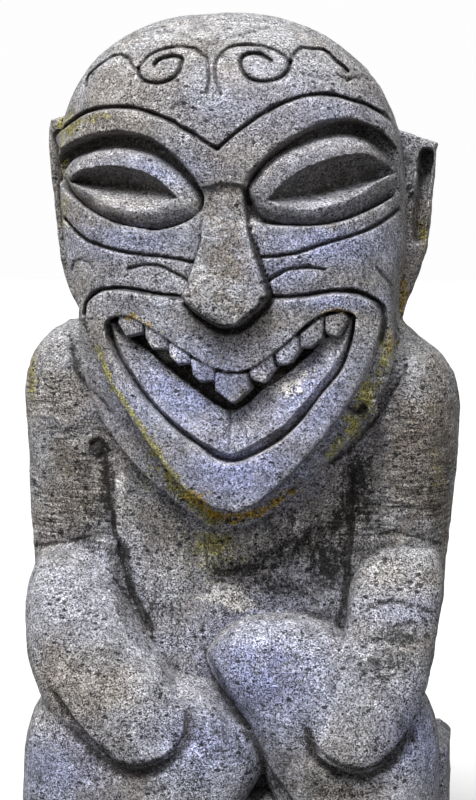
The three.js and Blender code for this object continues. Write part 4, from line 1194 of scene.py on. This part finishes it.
    # Relief of the skin, in metres
    height = sheet.times(fine_grain["Height"], 0.00035)
    height = sheet.plus(height, sheet.times(rough_grain["Height"], 0.0007))
    chisel_height = sheet.times(chisel["Height"], chisel_here)
    height = sheet.plus(height, sheet.times(chisel_height, 0.0006))
    height = sheet.minus(height, sheet.times(small_pits, 0.0012))
    height = sheet.minus(height, sheet.times(large_pits, 0.0025))
    bump = sheet.add("ShaderNodeBump", {"Strength": 0.8, "Distance": 1.0, "Height": height})
    sheet.set(shader.inputs["Normal"], bump.outputs["Normal"])
    return look


stone = carve()
piece = statue(stone)
mark(piece.data, stone)
piece.data.materials.append(stone_with_painted_light_and_shade())
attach(piece, "root")
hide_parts("tiki_statue")

# Floor, light and camera
FLOOR_REACH = 30
corners = FLOOR_REACH * np.array([(-1, -1, 0), (1, -1, 0), (1, 1, 0), (-1, 1, 0)])
floor = bpy.data.objects.new("floor", mesh_of("floor", corners, [np.array([[0, 1, 2, 3]])]))
bpy.context.scene.collection.objects.link(floor)
PALE_FLOOR, SHADED_FLOOR = (0.88, 0.88, 0.88, 1), (0.16, 0.16, 0.16, 1)
floor_look = bpy.data.materials.new("pale_floor")
floor_look.use_nodes = True
floor_sheet = Sheet(floor_look.node_tree)
floor_shader = floor_look.node_tree.nodes["Principled BSDF"]
floor_shader.inputs["Specular IOR Level"].default_value = 0.1
floor_shader.inputs["Roughness"].default_value = 0.9
seen = floor_sheet.add("ShaderNodeLightPath").outputs["Is Camera Ray"]
floor_sheet.set(floor_shader.inputs["Base Color"], floor_sheet.mix(seen, SHADED_FLOOR, PALE_FLOOR))
floor.data.materials.append(floor_look)

SKY_STRENGTH, GROUND_STRENGTH, BACKDROP_STRENGTH = 0.72, 0.12, 0.985
world = bpy.data.worlds.new("studio")
bpy.context.scene.world = world
world.use_nodes = True
sky_sheet = Sheet(world.node_tree)
background = world.node_tree.nodes["Background"]
direction = sky_sheet.add("ShaderNodeTexCoord").outputs["Generated"]
up = sky_sheet.add("ShaderNodeSeparateXYZ", {0: direction}).outputs["Z"]
sky = sky_sheet.fit(up, -0.1, 0.9, GROUND_STRENGTH, SKY_STRENGTH)
seen = sky_sheet.add("ShaderNodeLightPath").outputs["Is Camera Ray"]
strengths = {0: seen, 2: sky, 3: BACKDROP_STRENGTH}
strength = sky_sheet.add("ShaderNodeMix", strengths, data_type="FLOAT").outputs[0]
background.inputs["Color"].default_value = (1, 1, 1, 1)
sky_sheet.set(background.inputs["Strength"], strength)

SUN_AZIMUTH, SUN_ELEVATION = math.radians(-16), math.radians(56)
SUN_STRENGTH, SUN_WIDTH = 2.9, math.radians(26)
sun_data = bpy.data.lights.new("overhead", "SUN")
sun_data.energy = SUN_STRENGTH
sun_data.angle = SUN_WIDTH
sun = bpy.data.objects.new("overhead", sun_data)
from_sun = Vector((math.sin(SUN_AZIMUTH) * math.cos(SUN_ELEVATION),
                   -math.cos(SUN_AZIMUTH) * math.cos(SUN_ELEVATION),
                   math.sin(SUN_ELEVATION)))
sun.rotation_euler = (-from_sun).to_track_quat("-Z", "Y").to_euler()
bpy.context.scene.collection.objects.link(sun)

camera_data = bpy.data.cameras.new("camera")
camera_data.sensor_width = SENSOR
camera_data.lens = LENS
camera = bpy.data.objects.new("camera", camera_data)
camera.location = VIEW_TARGET + VIEW_DISTANCE * TO_CAMERA
camera.rotation_euler = (-Vector(TO_CAMERA)).to_track_quat("-Z", "Y").to_euler()
bpy.context.scene.collection.objects.link(camera)
bpy.context.scene.camera = camera
bpy.context.scene.view_settings.view_transform = "Standard"
